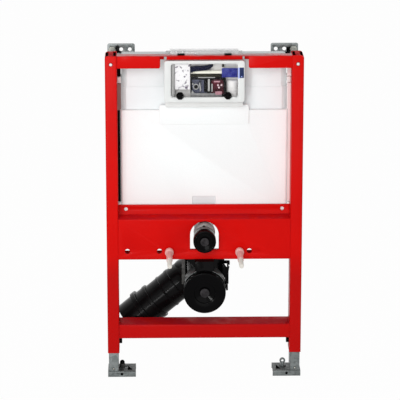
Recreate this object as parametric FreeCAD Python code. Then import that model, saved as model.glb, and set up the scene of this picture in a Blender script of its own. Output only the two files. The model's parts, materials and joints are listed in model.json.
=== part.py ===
import FreeCAD, Part
import math
import os

Vec = FreeCAD.Vector

# Overall frame, measured from the front face of the posts and from the floor
frame_width = 500.0
frame_height = 850.0
wall_depth = 200.0
rod_reach = 135.0

# Posts and their end caps
post_width = 30.0
post_depth = 60.0
post_wall = 2.0
post_corner = 3.0
post_bottom = 65.0
post_shoulder = 8.0
post_tab_width = 12.0
cap_insert = 11.0
cap_play = 0.2

# Sliding legs with folded feet
leg_play = 0.4
leg_wall = 2.0
leg_engaged = 335.0
leg_corner = 2.5
foot_length = 72.0
foot_depth = 64.0
foot_height = 15.0
foot_sheet = 3.0
foot_bend = 3.0
lip_hole_radius = 3.5
lip_hole_inset = 36.0
floor_hole_radius = 5.5
floor_hole_inset = 45.0
floor_hole_depth = 40.0
floor_shank_play = 0.5
floor_knob_radius = 7.0
floor_knob_height = 20.0
floor_eye_radius = 7.5
floor_eye_hole = 3.5
floor_eye_width = 5.0
floor_eye_neck = 4.0
floor_neck_radius = 3.2
floor_washer_radius = 9.0
floor_washer_height = 2.0
foot_slot_inset = 60.0
foot_slot_size = 11.0
foot_slot_depth = 16.0

# Clamp screw that holds each leg
clamp_rise = 25.0
clamp_head_radius = 7.5
clamp_head_length = 7.0
clamp_stud_radius = 4.0
clamp_hole_play = 0.3
clamp_tip_gap = 0.2

# Top rail
rail_sheet = 2.0
sheet_bend = 3.0
top_rail_depth = 26.0
top_flange = 32.0
top_rear_flange = 14.0
flange_start = 111.0
flange_corner = 5.0
lip_half_width = 95.0
lip_fall = 11.0
lip_back = 5.0
lip_set_back = 0.4

# Fixing rail
fixing_height = 340.0
flush_rise = 35.0
fixing_below = 22.5
fixing_above = 50.0
fixing_sheet = 2.5
ledge_depth = 47.0
upstand_height = 26.0
under_flange = 58.0
under_lip = 8.0
arch_radius = 36.5
arch_rise = 7.5
arch_sill = 31.0
arch_rim = 2.0
arch_rim_depth = 10.0
rod_pair_width = 180.0
wide_pair_width = 230.0
fixing_hole_radius = 6.5
spare_hole_inset = 23.0
upstand_hole_radius = 5.0
upstand_hole_drop = 11.5
upstand_hole_inset = 19.5

# Fixing rods for the pan, with plastic sleeves
rod_radius = 6.0
rod_tail = 34.0
rod_tip = 50.0
rod_tip_thread = 48.0
rod_plain_radius = 5.5
rod_rear_thread = 8.0
rod_tip_bevel = 1.5
rod_nut_flats = 19.0
rod_nut_height = 10.0
sleeve_play = 0.3
sleeve_radius = 7.6
sleeve_tip_taper = 3.0
sleeve_seat_radius = 8.6
sleeve_seat_length = 5.0
sleeve_collar_radius = 10.8
sleeve_collar_length = 11.0
sleeve_neck_length = 6.0

# Bottom rail
bottom_rail_rise = 39.5
bottom_rail_height = 37.5
bottom_rail_depth = 66.0
bottom_rail_wall = 2.0
bottom_rail_corner = 4.0

# Wall brackets
bracket_rod_drop = 23.0
bracket_below = 27.0
bracket_overhang = 12.0
bracket_width = 71.0
bracket_height = 42.0
bracket_sheet = 3.0
bracket_corner = 5.0
bracket_hole_radius = 5.0
bracket_first_hole = 24.0
bracket_second_hole = 46.0
bracket_rod_radius = 5.0
bracket_rod_play = 0.5
bracket_rod_tail = 24.0
bracket_nut_flats = 17.0
bracket_nut_height = 8.0

# Cistern tank, its insulating jacket, the clips that hold it and the strips that seal it
tank_wall = 3.0
tank_back = 145.0
tank_front = 62.0
tank_side_gap = 8.0
tank_drop = 18.0
tank_shoulder_height = 75.0
tank_step = 2.0
tank_corner = 10.0
tank_bevel = 14.0
jacket_drop = 151.0
jacket_gap = 7.0
jacket_front = 52.0
jacket_side_gap = 7.0
jacket_wall = 6.0
jacket_corner = 6.0
pad_half_width = 114.0
pad_height = 51.0
pad_above = 14.0
pad_rise = 5.0
pad_corner = 6.0
notch_half_width = 30.0
notch_height = 40.0
notch_depth = 4.0
clip_front = 50.0
clip_height = 15.0
low_clip_rise = 9.0
high_clip_drop = 62.0
high_clip_back = 92.0
seal_front = 52.0
seal_width = 6.7
seal_gap = 2.0
seal_top_drop = 14.0

# Access shaft with its clear covers
shaft_half_width = 101.0
shaft_drop = 14.0
shaft_height = 106.0
shaft_front = 4.0
shaft_wall = 4.0
shaft_face = 3.0
shaft_corner = 6.0
collar_inset = 4.0
collar_wall = 3.0
collar_play = 0.3
window_half_width = 84.0
window_sill = 13.0
window_head = 8.0
cover_overlap = 2.0
cover_sheet = 2.0
knob_radius = 10.0
knob_length = 6.0
knob_x = 59.0
knob_rise = 2.0
knob_grip = 2.4
lid_front = 8.0
lid_sheet = 1.5
lid_rise = 8.0
lid_border = 10.0
lid_clip_half_width = 9.0
lid_clip_depth = 9.0
lid_clip_height = 4.5
lid_clip_grip = 4.0

# Pieces behind the window
housing_left = -35.0
housing_right = 54.0
housing_height = 60.0
housing_front = 22.0
housing_back = 55.0
housing_corner = 8.0
bay_depth = 14.0
bay_base = 12.0
bay_top_wall = 5.0
bay_side_wall = 3.0
bay_divider = 9.0
bay_split = 12.5
lifter_play = 0.5
lifter_set_back = 3.0
lifter_corner = 3.0
valve_x = 72.0
valve_y = 90.0
valve_radius = 16.0
valve_drop = 32.0
valve_cap_radius = 20.0
valve_cap_height = 14.0
supply_radius = 6.0
supply_drop = 46.0
block_left = -36.0
block_right = 22.0
block_depth = 20.0
block_rise = 20.0
block_play = 0.1
tag_left = 44.0
tag_front = 20.0
tag_drop = 42.0
tag_height = 24.0
card_left = -74.0
card_right = -36.0
card_front = 17.0
card_height = 72.0
card_sheet = 1.5

# Flush pipe and its cap
flush_radius = 25.0
flush_wall = 2.5
flush_depth = 98.0
flush_bend = 45.0
flush_stub = 26.0
flush_collar_radius = 34.0
flush_collar_length = 11.0
flush_band_radius = 27.0
flush_band_front = -8.0
flush_band_length = 38.0
flush_hole_play = 0.5
flush_cap_radius = 29.0
flush_cap_length = 26.0
flush_cap_face = 14.0
flush_cap_rim = 5.0
flush_cap_bevel = 3.0
flush_cap_dish = 3.0
flush_boss_radius = 11.0
flush_boss_drop = 0.8
flush_dimple_radius = 4.0
flush_dimple_depth = 1.2

# Waste bend, pipe, socket, holder and cap
waste_drop = 100.0
waste_radius = 45.0
waste_wall = 3.0
waste_stub = 34.0
waste_turn_depth = 86.0
waste_side_step = 40.0
waste_slope = 40.0
waste_bend_radius = 46.0
waste_bend_run = 40.0
waste_pipe_end = 133.0
waste_band_radius = 46.5
waste_band_length = 7.0
waste_play = 0.3
elbow_radius = 45.4
socket_start = 110.0
socket_end = 200.0
socket_radius = 50.0
socket_play = 0.5
socket_stop = 6.0
socket_edge = 1.5
first_ring_radius = 50.0
first_ring_length = 10.0
ring_gap = 22.0
ring_gap_radius = 48.5
second_ring_radius = 55.0
second_ring_length = 13.0
waste_cap_radius = 54.0
waste_cap_face = 9.0
waste_cap_flange = 13.0
waste_cap_length = 33.0
waste_cap_rim = 7.0
waste_cap_bevel = 3.0
waste_cap_dish = 3.0
cap_boss_radius = 12.0
cap_dimple_radius = 8.0
cap_dimple_depth = 1.5
holder_front = 8.0
holder_back = 36.0
holder_ring_back = 26.0
holder_web_front = 22.0
holder_radius = 56.0
holder_half_width = 52.0
holder_tab_half_width = 24.0
holder_tab_front = -20.0
collar_start = -27.0
collar_radius = 54.0
collar_bore = 49.0
latch_gap = 2.5
latch_width = 4.0
latch_top_drop = 10.0
latch_length = 58.0
latch_bridge = 8.0
latch_hook = 3.0
latch_hook_height = 7.0

# Derived places
half_width = frame_width / 2
post_inner = half_width - post_width
post_mid = half_width - post_width / 2
cap_top = frame_height - post_wall - cap_play
clamp_height = post_bottom + clamp_rise
leg_top = post_bottom + leg_engaged
bottom_rail_base = post_bottom + bottom_rail_rise
origin_shift = -(wall_depth - rod_reach) / 2
flush_height = fixing_height + flush_rise
waste_height = fixing_height - waste_drop
fixing_bottom = fixing_height - fixing_below
fixing_top = flush_height + fixing_above
upstand_top = fixing_top + upstand_height
spare_hole_x = post_inner - spare_hole_inset
upstand_hole_x = post_inner - upstand_hole_inset
bracket_rod_height = frame_height - bracket_rod_drop
bracket_base = bracket_rod_height - bracket_below
bracket_outer = post_mid + bracket_overhang
bracket_inner = bracket_outer - bracket_width
tank_top = frame_height - tank_drop
tank_shoulder = tank_top - tank_shoulder_height
tank_half_width = post_inner - tank_side_gap
jacket_top = frame_height - jacket_drop
jacket_bottom = fixing_top + jacket_gap
jacket_half_width = post_inner - jacket_side_gap
pad_top = jacket_top + pad_above
pad_bottom = pad_top - pad_height
notch_top = jacket_bottom + notch_height
low_clip_base = jacket_bottom + low_clip_rise
high_clip_base = tank_top - high_clip_drop
shaft_top = frame_height - shaft_drop
shaft_bottom = shaft_top - shaft_height
shaft_floor = shaft_bottom + shaft_wall
shaft_ceiling = shaft_top - shaft_wall
shaft_inner = shaft_half_width - shaft_wall
window_bottom = shaft_bottom + window_sill
window_top = shaft_top - window_head
knob_height = window_bottom + knob_rise
collar_half_width = shaft_half_width - collar_inset
collar_front = top_rail_depth + collar_play
tank_low_half = jacket_half_width - jacket_wall
tank_low_front = jacket_front + jacket_wall
tank_low_back = tank_back - jacket_wall
tank_bottom = jacket_bottom + jacket_wall
tank_high_half = tank_half_width - tank_step
tank_high_front = tank_front + tank_step
valve_top = shaft_ceiling - valve_drop
supply_height = shaft_ceiling - supply_drop
tag_base = shaft_ceiling - tag_drop
card_base = shaft_ceiling - card_height
slope_angle = math.radians(waste_slope)
waste_aim = Vec(-math.cos(slope_angle), 0, -math.sin(slope_angle))
waste_elbow = Vec(-waste_side_step, waste_turn_depth + waste_side_step, waste_height)


def box(x0, x1, y0, y1, z0, z1):
    return Part.makeBox(x1 - x0, y1 - y0, z1 - z0, Vec(x0, y0, z0))


def bar(start, axis, radius, length):
    return Part.makeCylinder(radius, length, start, axis)


def along_y(x, z, radius, y0, y1):
    return bar(Vec(x, y0, z), Vec(0, 1, 0), radius, y1 - y0)


def corner_waste(x, z, radius, inward_x, inward_z, y0, y1):
    centre_x = x + inward_x * radius
    centre_z = z + inward_z * radius
    block = box(min(x, centre_x), max(x, centre_x), y0, y1, min(z, centre_z), max(z, centre_z))
    return block.cut(along_y(centre_x, centre_z, radius, y0, y1))


def joined(*shapes):
    return shapes[0].multiFuse(list(shapes[1:])).removeSplitter()


def rounded(shape, radius, axis):
    edges = []
    for edge in shape.Edges:
        step = edge.Vertexes[-1].Point - edge.Vertexes[0].Point
        if abs(abs(step.normalize().dot(axis)) - 1) < 1e-6:
            edges.append(edge)
    return shape.makeFillet(radius, edges)


def edges_on(shape, **place):
    picked = []
    for edge in shape.Edges:
        ends = [vertex.Point for vertex in edge.Vertexes]
        if all(abs(getattr(end, axis) - value) < 1e-6 for end in ends for axis, value in place.items()):
            picked.append(edge)
    return picked


def mirrored(shape):
    return shape.mirror(Vec(0, 0, 0), Vec(1, 0, 0))


def inner_corner(corner, wall):
    return max(corner - wall, wall / 4)


def hex_nut(x, z, y0, y1, flats):
    corner = flats / math.sqrt(3)
    points = []
    for side in range(7):
        turn = math.radians(60 * side)
        points.append(Vec(x + corner * math.cos(turn), y0, z + corner * math.sin(turn)))
    return Part.Face(Part.makePolygon(points)).extrude(Vec(0, y1 - y0, 0))


def turned(x, z, outline):
    points = [Vec(x + radius, y, z) for radius, y in outline]
    face = Part.Face(Part.makePolygon(points + points[:1]))
    return face.revolve(Vec(x, 0, z), Vec(0, 1, 0), 360)


def bent_path(points, radius):
    edges = []
    start = points[0]
    for before, corner, after in zip(points, points[1:], points[2:]):
        heading = (corner - before).normalize()
        leaving = (after - corner).normalize()
        half_turn = heading.getAngle(leaving) / 2
        trim = radius * math.tan(half_turn)
        first = corner - heading * trim
        last = corner + leaving * trim
        inward = (leaving - heading).normalize()
        middle = corner + inward * (radius / math.cos(half_turn) - radius)
        edges.append(Part.LineSegment(start, first).toShape())
        edges.append(Part.Arc(first, middle, last).toShape())
        start = last
    edges.append(Part.LineSegment(start, points[-1]).toShape())
    return Part.Wire(edges)


def swept(path, radius):
    first = path.Edges[0]
    start = first.valueAt(first.FirstParameter)
    heading = first.tangentAt(first.FirstParameter)
    ring = Part.Wire(Part.makeCircle(radius, start, heading))
    return path.makePipeShell([ring], True, False)


def save(name, shape):
    placed = shape.copy()
    placed.translate(Vec(0, origin_shift, 0))
    placed.exportStep("parts/" + name + ".step")


def save_pair(name, shape):
    save("right_" + name, shape)
    save("left_" + name, mirrored(shape))


# Posts
def post():
    up = Vec(0, 0, 1)
    outside = rounded(box(post_inner, half_width, 0, post_depth, post_bottom, frame_height), post_corner, up)
    hollow = rounded(
        box(
            post_inner + post_wall,
            half_width - post_wall,
            post_wall,
            post_depth - post_wall,
            post_bottom,
            frame_height,
        ),
        inner_corner(post_corner, post_wall),
        up,
    )
    tab = box(
        post_mid - post_tab_width / 2,
        post_mid + post_tab_width / 2,
        0,
        post_depth,
        frame_height - post_wall,
        frame_height,
    )
    clamp_hole = bar(
        Vec(post_inner, post_depth / 2, clamp_height),
        Vec(1, 0, 0),
        clamp_stud_radius + clamp_hole_play,
        post_wall,
    )
    rod_hole = along_y(
        post_mid,
        bracket_rod_height,
        bracket_rod_radius + bracket_rod_play,
        post_depth - post_wall,
        post_depth,
    )
    tube = joined(outside.cut(hollow), tab)
    shoulder = corner_waste(half_width, frame_height, post_shoulder, -1, -1, 0, post_depth)
    return tube.cut(shoulder).cut(clamp_hole).cut(rod_hole)


def post_cap():
    gap = post_wall + cap_play
    plug = box(
        post_inner + gap,
        half_width - gap,
        gap,
        post_depth - gap,
        cap_top - cap_insert,
        cap_top,
    )
    shoulder = corner_waste(half_width, frame_height, post_shoulder, -1, -1, 0, post_depth)
    return rounded(plug, post_corner, Vec(0, 0, 1)).cut(shoulder)


# Sliding legs, their feet and what holds them
def leg():
    up = Vec(0, 0, 1)
    gap = post_wall + leg_play
    shank = rounded(
        box(post_inner + gap, half_width - gap, gap, post_depth - gap, foot_height, leg_top),
        leg_corner,
        up,
    )
    inset = gap + leg_wall
    hollow = box(
        post_inner + inset,
        half_width - inset,
        inset,
        post_depth - inset,
        foot_height,
        leg_top,
    )
    foot_inner = half_width - foot_length
    foot = box(foot_inner, half_width, 0, foot_depth, 0, foot_height)
    front_edge = edges_on(foot, y=0, z=foot_height)
    rear_edge = edges_on(foot, y=foot_depth, z=foot_height)
    foot = foot.makeFillet(foot_bend, front_edge + rear_edge)
    under = box(
        foot_inner,
        half_width,
        foot_sheet,
        foot_depth - foot_sheet,
        0,
        foot_height - foot_sheet,
    )
    hole_x = half_width - floor_hole_inset
    floor_hole = bar(Vec(hole_x, floor_hole_depth, 0), up, floor_hole_radius, foot_height)
    lip_hole = along_y(half_width - lip_hole_inset, foot_height / 2, lip_hole_radius, 0, foot_sheet)
    slot_x = half_width - foot_slot_inset
    slot_points = [
        Vec(slot_x - foot_slot_size / 2, foot_slot_depth, 0),
        Vec(slot_x + foot_slot_size / 2, foot_slot_depth, 0),
        Vec(slot_x, foot_slot_depth + foot_slot_size, 0),
    ]
    slot = Part.Face(Part.makePolygon(slot_points + slot_points[:1])).extrude(Vec(0, 0, foot_height))
    foot = foot.cut(under).cut(floor_hole).cut(lip_hole).cut(slot)
    return joined(shank.cut(hollow), foot)


def leg_clamp():
    stud_start = post_inner - clamp_head_length
    centre = Vec(stud_start, post_depth / 2, clamp_height)
    head = bar(centre, Vec(1, 0, 0), clamp_head_radius, clamp_head_length)
    stud_length = clamp_head_length + post_wall + leg_play - clamp_tip_gap
    stud = bar(centre, Vec(1, 0, 0), clamp_stud_radius, stud_length)
    return joined(head, stud)


def floor_bolt(side):
    up = Vec(0, 0, 1)
    place = Vec(side * (half_width - floor_hole_inset), floor_hole_depth, foot_height)
    shank_radius = floor_hole_radius - floor_shank_play
    shank = bar(place - up * foot_height / 2, up, shank_radius, foot_height / 2)
    knob = bar(place, up, floor_knob_radius, floor_knob_height)
    top_edges = edges_on(knob, z=foot_height + floor_knob_height)
    knob = knob.makeFillet(floor_knob_radius / 3, top_edges)
    return joined(shank, knob)


def floor_ring(side):
    up = Vec(0, 0, 1)
    place = Vec(side * (half_width - floor_hole_inset), floor_hole_depth, foot_height)
    shank_radius = floor_hole_radius - floor_shank_play
    shank = bar(place - up * foot_height / 2, up, shank_radius, foot_height / 2)
    washer = bar(place, up, floor_washer_radius, floor_washer_height)
    eye_height = foot_height + floor_washer_height + floor_eye_neck + floor_eye_radius
    neck = bar(place, up, floor_neck_radius, floor_washer_height + floor_eye_neck + floor_eye_hole / 2)
    eye_front = floor_hole_depth - floor_eye_width / 2
    eye_back = floor_hole_depth + floor_eye_width / 2
    eye = along_y(place.x, eye_height, floor_eye_radius, eye_front, eye_back)
    hole = along_y(place.x, eye_height, floor_eye_hole, eye_front, eye_back)
    return joined(shank, washer, neck, eye).cut(hole)


# Rails between the posts
def top_rail():
    plate_base = frame_height - rail_sheet
    flange_base = frame_height - top_flange
    plate = box(-post_inner, post_inner, 0, top_rail_depth, plate_base, frame_height)
    flange = box(-post_inner, post_inner, 0, rail_sheet, flange_base, frame_height)
    rail = joined(plate, flange)
    rail = rail.makeFillet(sheet_bend, edges_on(rail, y=0, z=frame_height))
    rail = rail.cut(box(-flange_start, flange_start, 0, rail_sheet, flange_base, plate_base))
    for side in (-1, 1):
        corner = corner_waste(side * flange_start, flange_base, flange_corner, side, 1, 0, rail_sheet)
        rail = rail.cut(corner)
    rear = box(
        shaft_half_width + collar_play,
        post_inner,
        top_rail_depth - rail_sheet,
        top_rail_depth,
        frame_height - top_rear_flange,
        frame_height,
    )
    return joined(rail, rear, mirrored(rear), sloping_lip())


def sloping_lip():
    plate_base = frame_height - rail_sheet
    bottom = frame_height - lip_fall
    corners = [
        Vec(-lip_half_width, lip_set_back, plate_base),
        Vec(-lip_half_width, lip_back, bottom),
        Vec(-lip_half_width, lip_back + rail_sheet, bottom),
        Vec(-lip_half_width, lip_set_back + 2 * rail_sheet, plate_base),
    ]
    return Part.Face(Part.makePolygon(corners + corners[:1])).extrude(Vec(2 * lip_half_width, 0, 0))


def arch(grow, depth):
    radius = arch_radius + grow
    spring = flush_height + arch_rise
    crown = along_y(0, spring, radius, 0, depth)
    sides = box(-radius, radius, 0, depth, flush_height - arch_sill - grow, spring)
    return joined(crown, sides)


def fixing_rail():
    plate = box(-post_inner, post_inner, 0, fixing_sheet, fixing_bottom, fixing_top)
    ledge_back = ledge_depth + fixing_sheet
    ledge = box(-post_inner, post_inner, 0, ledge_back, fixing_top - fixing_sheet, fixing_top)
    upstand = box(-post_inner, post_inner, ledge_depth, ledge_back, fixing_top, upstand_top)
    under = box(-post_inner, post_inner, 0, under_flange, fixing_bottom, fixing_bottom + fixing_sheet)
    lip_front = under_flange - fixing_sheet
    lip = box(-post_inner, post_inner, lip_front, under_flange, fixing_bottom, fixing_bottom + under_lip)
    rail = joined(plate, ledge, upstand, under, lip)
    bends = edges_on(rail, y=0, z=fixing_top) + edges_on(rail, y=0, z=fixing_bottom)
    rail = rail.makeFillet(sheet_bend, bends)
    rail = joined(rail, arch(arch_rim, arch_rim_depth)).cut(arch(0, arch_rim_depth))
    wide = wide_pair_width / 2
    narrow = rod_pair_width / 2
    for x in (-wide, -narrow, narrow, wide, -spare_hole_x):
        rail = rail.cut(along_y(x, fixing_height, fixing_hole_radius, 0, fixing_sheet))
    for x in (-upstand_hole_x, upstand_hole_x):
        hole_z = upstand_top - upstand_hole_drop
        rail = rail.cut(along_y(x, hole_z, upstand_hole_radius, ledge_depth, ledge_back))
    return rail


def bottom_rail():
    along = Vec(1, 0, 0)
    top = bottom_rail_base + bottom_rail_height
    outside = box(-post_inner, post_inner, 0, bottom_rail_depth, bottom_rail_base, top)
    wall = bottom_rail_wall
    back = bottom_rail_depth - wall
    hollow = box(-post_inner, post_inner, wall, back, bottom_rail_base + wall, top - wall)
    outside = rounded(outside, bottom_rail_corner, along)
    return outside.cut(rounded(hollow, bottom_rail_corner - wall, along))


# Pan fixing rods
def fixing_rod():
    x = rod_pair_width / 2
    tip_end = rod_tip_thread - rod_reach
    tip = along_y(x, fixing_height, rod_radius, -rod_reach, tip_end)
    tip = tip.makeChamfer(rod_tip_bevel, edges_on(tip, y=-rod_reach))
    plain = along_y(x, fixing_height, rod_plain_radius, tip_end, -rod_rear_thread)
    rear = along_y(x, fixing_height, rod_radius, -rod_rear_thread, rod_tail)
    nut_end = fixing_sheet + rod_nut_height
    nut = hex_nut(x, fixing_height, fixing_sheet, nut_end, rod_nut_flats)
    return joined(tip, plain, rear, nut)


def rod_sleeve():
    bore = rod_radius + sleeve_play
    tip = rod_tip - rod_reach
    collar_end = -sleeve_seat_length - sleeve_collar_length
    neck = collar_end - sleeve_neck_length
    outline = [
        (bore, tip),
        ((bore + sleeve_radius) / 2, tip),
        (sleeve_radius, tip + sleeve_tip_taper),
        (sleeve_radius, neck),
        (sleeve_collar_radius, collar_end),
        (sleeve_collar_radius, -sleeve_seat_length),
        (sleeve_seat_radius, -sleeve_seat_length),
        (sleeve_seat_radius, 0),
        (bore, 0),
    ]
    return turned(rod_pair_width / 2, fixing_height, outline)


# Wall brackets
def wall_bracket():
    plate_front = wall_depth - bracket_sheet
    plate = box(
        bracket_inner,
        bracket_outer,
        plate_front,
        wall_depth,
        bracket_base,
        bracket_base + bracket_height,
    )
    plate = rounded(plate, bracket_corner, Vec(0, 1, 0))
    for step in (bracket_first_hole, bracket_second_hole):
        hole_x = post_mid - step
        plate = plate.cut(along_y(hole_x, bracket_rod_height, bracket_hole_radius, plate_front, wall_depth))
    rod_hole = bracket_rod_radius + bracket_rod_play
    return plate.cut(along_y(post_mid, bracket_rod_height, rod_hole, plate_front, wall_depth))


def bracket_rod():
    plate_front = wall_depth - bracket_sheet
    shank_start = post_depth - bracket_rod_tail
    shank = along_y(post_mid, bracket_rod_height, bracket_rod_radius, shank_start, wall_depth)
    inside = post_depth - post_wall
    nuts = []
    for start in (inside - bracket_nut_height, post_depth, plate_front - bracket_nut_height):
        end = start + bracket_nut_height
        nuts.append(hex_nut(post_mid, bracket_rod_height, start, end, bracket_nut_flats))
    return joined(shank, *nuts)


# Cistern
def tank_block(half, front, back, base, top, bevel, corner):
    block = box(-half, half, front, back, base, top)
    front_edges = edges_on(block, x=half, y=front) + edges_on(block, x=-half, y=front)
    block = block.makeChamfer(bevel, front_edges)
    rear_edges = edges_on(block, x=half, y=back) + edges_on(block, x=-half, y=back)
    return block.makeFillet(corner, rear_edges)


def tank_blocks(inset):
    up = Vec(0, 0, 1)
    low = box(
        inset - tank_low_half,
        tank_low_half - inset,
        tank_low_front + inset,
        tank_low_back - inset,
        tank_bottom + inset,
        jacket_top - inset,
    )
    bevel = tank_bevel - inset * (2 - math.sqrt(2))
    corner = tank_corner - inset
    middle_half = tank_half_width - inset
    high_half = tank_high_half - inset
    front = tank_front + inset
    high_front = tank_high_front + inset
    back = tank_back - inset
    step = tank_shoulder - inset
    middle = tank_block(middle_half, front, back, jacket_top + inset, step, bevel, corner)
    high = tank_block(high_half, high_front, back, step, tank_top - inset, bevel, corner)
    return joined(rounded(low, corner, up), middle, high)


def tank_neck():
    half = tank_low_half - tank_wall
    front = tank_front + tank_wall
    back = tank_low_back - tank_wall
    neck = box(-half, half, front, back, jacket_top - tank_wall, jacket_top + tank_wall)
    return rounded(neck, tank_corner - tank_wall, Vec(0, 0, 1))


def tank():
    shell = tank_blocks(0)
    shell = shell.makeFillet(tank_wall, edges_on(shell, z=tank_top))
    shell = shell.cut(tank_blocks(tank_wall)).cut(tank_neck())
    mouth = box(
        -shaft_inner,
        shaft_inner,
        tank_front,
        tank_high_front + tank_wall,
        shaft_floor,
        tank_top - 2 * tank_wall,
    )
    outlet = bar(Vec(0, flush_depth, tank_bottom), Vec(0, 0, 1), flush_radius - flush_wall, tank_wall)
    return shell.cut(mouth).cut(outlet)


def jacket():
    up = Vec(0, 0, 1)
    block = box(
        -jacket_half_width,
        jacket_half_width,
        jacket_front,
        tank_back,
        jacket_bottom,
        jacket_top,
    )
    block = rounded(block, jacket_corner, up)
    space = box(-tank_low_half, tank_low_half, tank_low_front, tank_low_back, tank_bottom, jacket_top)
    block = block.cut(rounded(space, tank_corner, up))
    pad = box(-pad_half_width, pad_half_width, jacket_front - pad_rise, jacket_front, pad_bottom, pad_top)
    pad = rounded(pad, pad_corner, Vec(0, 1, 0))
    notch = box(
        -notch_half_width,
        notch_half_width,
        jacket_front,
        jacket_front + notch_depth,
        jacket_bottom,
        notch_top,
    )
    pipe_hole = bar(
        Vec(0, flush_depth, jacket_bottom),
        up,
        flush_radius + flush_hole_play,
        jacket_wall,
    )
    return joined(block.cut(notch).cut(pipe_hole), pad)


def cistern_clips():
    low = box(
        jacket_half_width,
        post_inner,
        clip_front,
        post_depth,
        low_clip_base,
        low_clip_base + clip_height,
    )
    high = box(
        tank_high_half,
        post_inner,
        clip_front,
        high_clip_back,
        high_clip_base,
        high_clip_base + clip_height,
    )
    return Part.makeCompound([low, high, mirrored(low), mirrored(high)])


def tank_seal():
    strips = []
    low_clip_top = low_clip_base + clip_height
    high_clip_top = high_clip_base + clip_height
    spans = [
        (low_clip_top + seal_gap, high_clip_base - seal_gap),
        (high_clip_top + seal_gap, tank_top - seal_top_drop),
    ]
    for base, top in spans:
        strips.append(box(post_inner - seal_width, post_inner, seal_front, post_depth, base, top))
    return Part.makeCompound(strips)


# Access shaft and covers
def access_shaft():
    facing = Vec(0, 1, 0)
    outside = box(
        -shaft_half_width,
        shaft_half_width,
        shaft_front,
        tank_front,
        shaft_bottom,
        shaft_top,
    )
    hollow = box(
        -shaft_inner,
        shaft_inner,
        shaft_front + shaft_face,
        tank_front,
        shaft_floor,
        shaft_ceiling,
    )
    window = box(
        -window_half_width,
        window_half_width,
        shaft_front,
        shaft_front + shaft_face,
        window_bottom,
        window_top,
    )
    collar = box(
        -collar_half_width,
        collar_half_width,
        collar_front,
        tank_front,
        shaft_ceiling,
        frame_height,
    )
    well = box(
        collar_wall - collar_half_width,
        collar_half_width - collar_wall,
        collar_front + collar_wall,
        tank_front - collar_wall,
        shaft_ceiling,
        frame_height,
    )
    shell = rounded(outside, shaft_corner, facing).cut(hollow).cut(rounded(window, shaft_corner, facing))
    return joined(shell, collar).cut(well)


def front_cover():
    cover = box(
        -window_half_width - cover_overlap,
        window_half_width + cover_overlap,
        shaft_front - cover_sheet,
        shaft_front,
        window_bottom - cover_overlap,
        window_top + cover_overlap,
    )
    return rounded(cover, shaft_corner, Vec(0, 1, 0))


def cover_knobs():
    knobs = []
    back = shaft_front - cover_sheet
    front = back - knob_length
    for x in (-knob_x, knob_x):
        knob = along_y(x, knob_height, knob_radius, front, back)
        knob = knob.makeFillet(knob_length / 4, edges_on(knob, y=front))
        slot = box(
            x - knob_radius,
            x + knob_radius,
            front,
            front + knob_grip,
            knob_height - knob_grip / 2,
            knob_height + knob_grip / 2,
        )
        knobs.append(knob.cut(slot))
    return Part.makeCompound(knobs)


def top_cover():
    up = Vec(0, 0, 1)
    half = collar_half_width
    rim = box(-half, half, lid_front, tank_front, frame_height, frame_height + lid_sheet)
    crown = box(
        lid_border - half,
        half - lid_border,
        lid_front + lid_border,
        tank_front - lid_border,
        frame_height,
        frame_height + lid_rise,
    )
    inset = lid_border + lid_sheet
    space = box(
        inset - half,
        half - inset,
        lid_front + inset,
        tank_front - inset,
        frame_height,
        frame_height + lid_rise - lid_sheet,
    )
    return joined(rounded(rim, sheet_bend, up), rounded(crown, sheet_bend, up)).cut(space)


def top_cover_clips():
    clips = []
    for x in (-knob_x, knob_x):
        left = x - lid_clip_half_width
        right = x + lid_clip_half_width
        back = lid_front + lid_clip_grip
        top = frame_height + lid_clip_height
        block = box(left, right, back - lid_clip_depth, back, frame_height, top)
        under = box(left, right, lid_front, back, frame_height, frame_height + lid_sheet)
        clips.append(block.cut(under))
    return Part.makeCompound(clips)


# Works behind the window
def bay(left, right, inset, front, back):
    space = box(
        left + inset,
        right - inset,
        front,
        back,
        shaft_floor + bay_base + inset,
        shaft_floor + housing_height - bay_top_wall - inset,
    )
    return rounded(space, lifter_corner, Vec(0, 1, 0))


def bays():
    left_end = bay_split - bay_divider / 2
    right_start = bay_split + bay_divider / 2
    return [
        (housing_left + bay_side_wall, left_end),
        (right_start, housing_right - bay_side_wall),
    ]


def flush_housing():
    top = shaft_floor + housing_height
    block = box(housing_left, housing_right, housing_front, housing_back, shaft_floor, top)
    upper = edges_on(block, x=housing_left, z=top) + edges_on(block, x=housing_right, z=top)
    block = block.makeFillet(housing_corner, upper)
    for left, right in bays():
        block = block.cut(bay(left, right, 0, housing_front, housing_front + bay_depth))
    return block


def lifter(side):
    left, right = bays()[side]
    return bay(left, right, lifter_play, housing_front + lifter_set_back, housing_front + bay_depth)


def fill_valve():
    up = Vec(0, 0, 1)
    base = tank_bottom + tank_wall
    stem = bar(Vec(valve_x, valve_y, base), up, valve_radius, valve_top - base)
    cap = bar(Vec(valve_x, valve_y, valve_top), up, valve_cap_radius, valve_cap_height)
    return joined(stem, cap)


def supply_tube():
    start = tank_wall - tank_high_half
    side = math.sqrt(valve_radius ** 2 - supply_radius ** 2)
    length = valve_x - side - start
    tube = bar(Vec(start, valve_y, supply_height), Vec(1, 0, 0), supply_radius, length)
    return tube.cut(bar(Vec(valve_x, valve_y, 0), Vec(0, 0, 1), valve_radius, tank_top))


def valve_block():
    half = block_depth / 2
    top = supply_height + block_rise
    block = box(block_left, block_right, valve_y - half, valve_y + half, supply_height, top)
    length = block_right - block_left
    start = Vec(block_left, valve_y, supply_height)
    return block.cut(bar(start, Vec(1, 0, 0), supply_radius + block_play, length))


def service_tag():
    return box(
        tag_left,
        shaft_inner,
        tag_front,
        tag_front + card_sheet,
        tag_base,
        tag_base + tag_height,
    )


def service_card():
    return box(card_left, card_right, card_front, card_front + card_sheet, card_base, shaft_ceiling)


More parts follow.
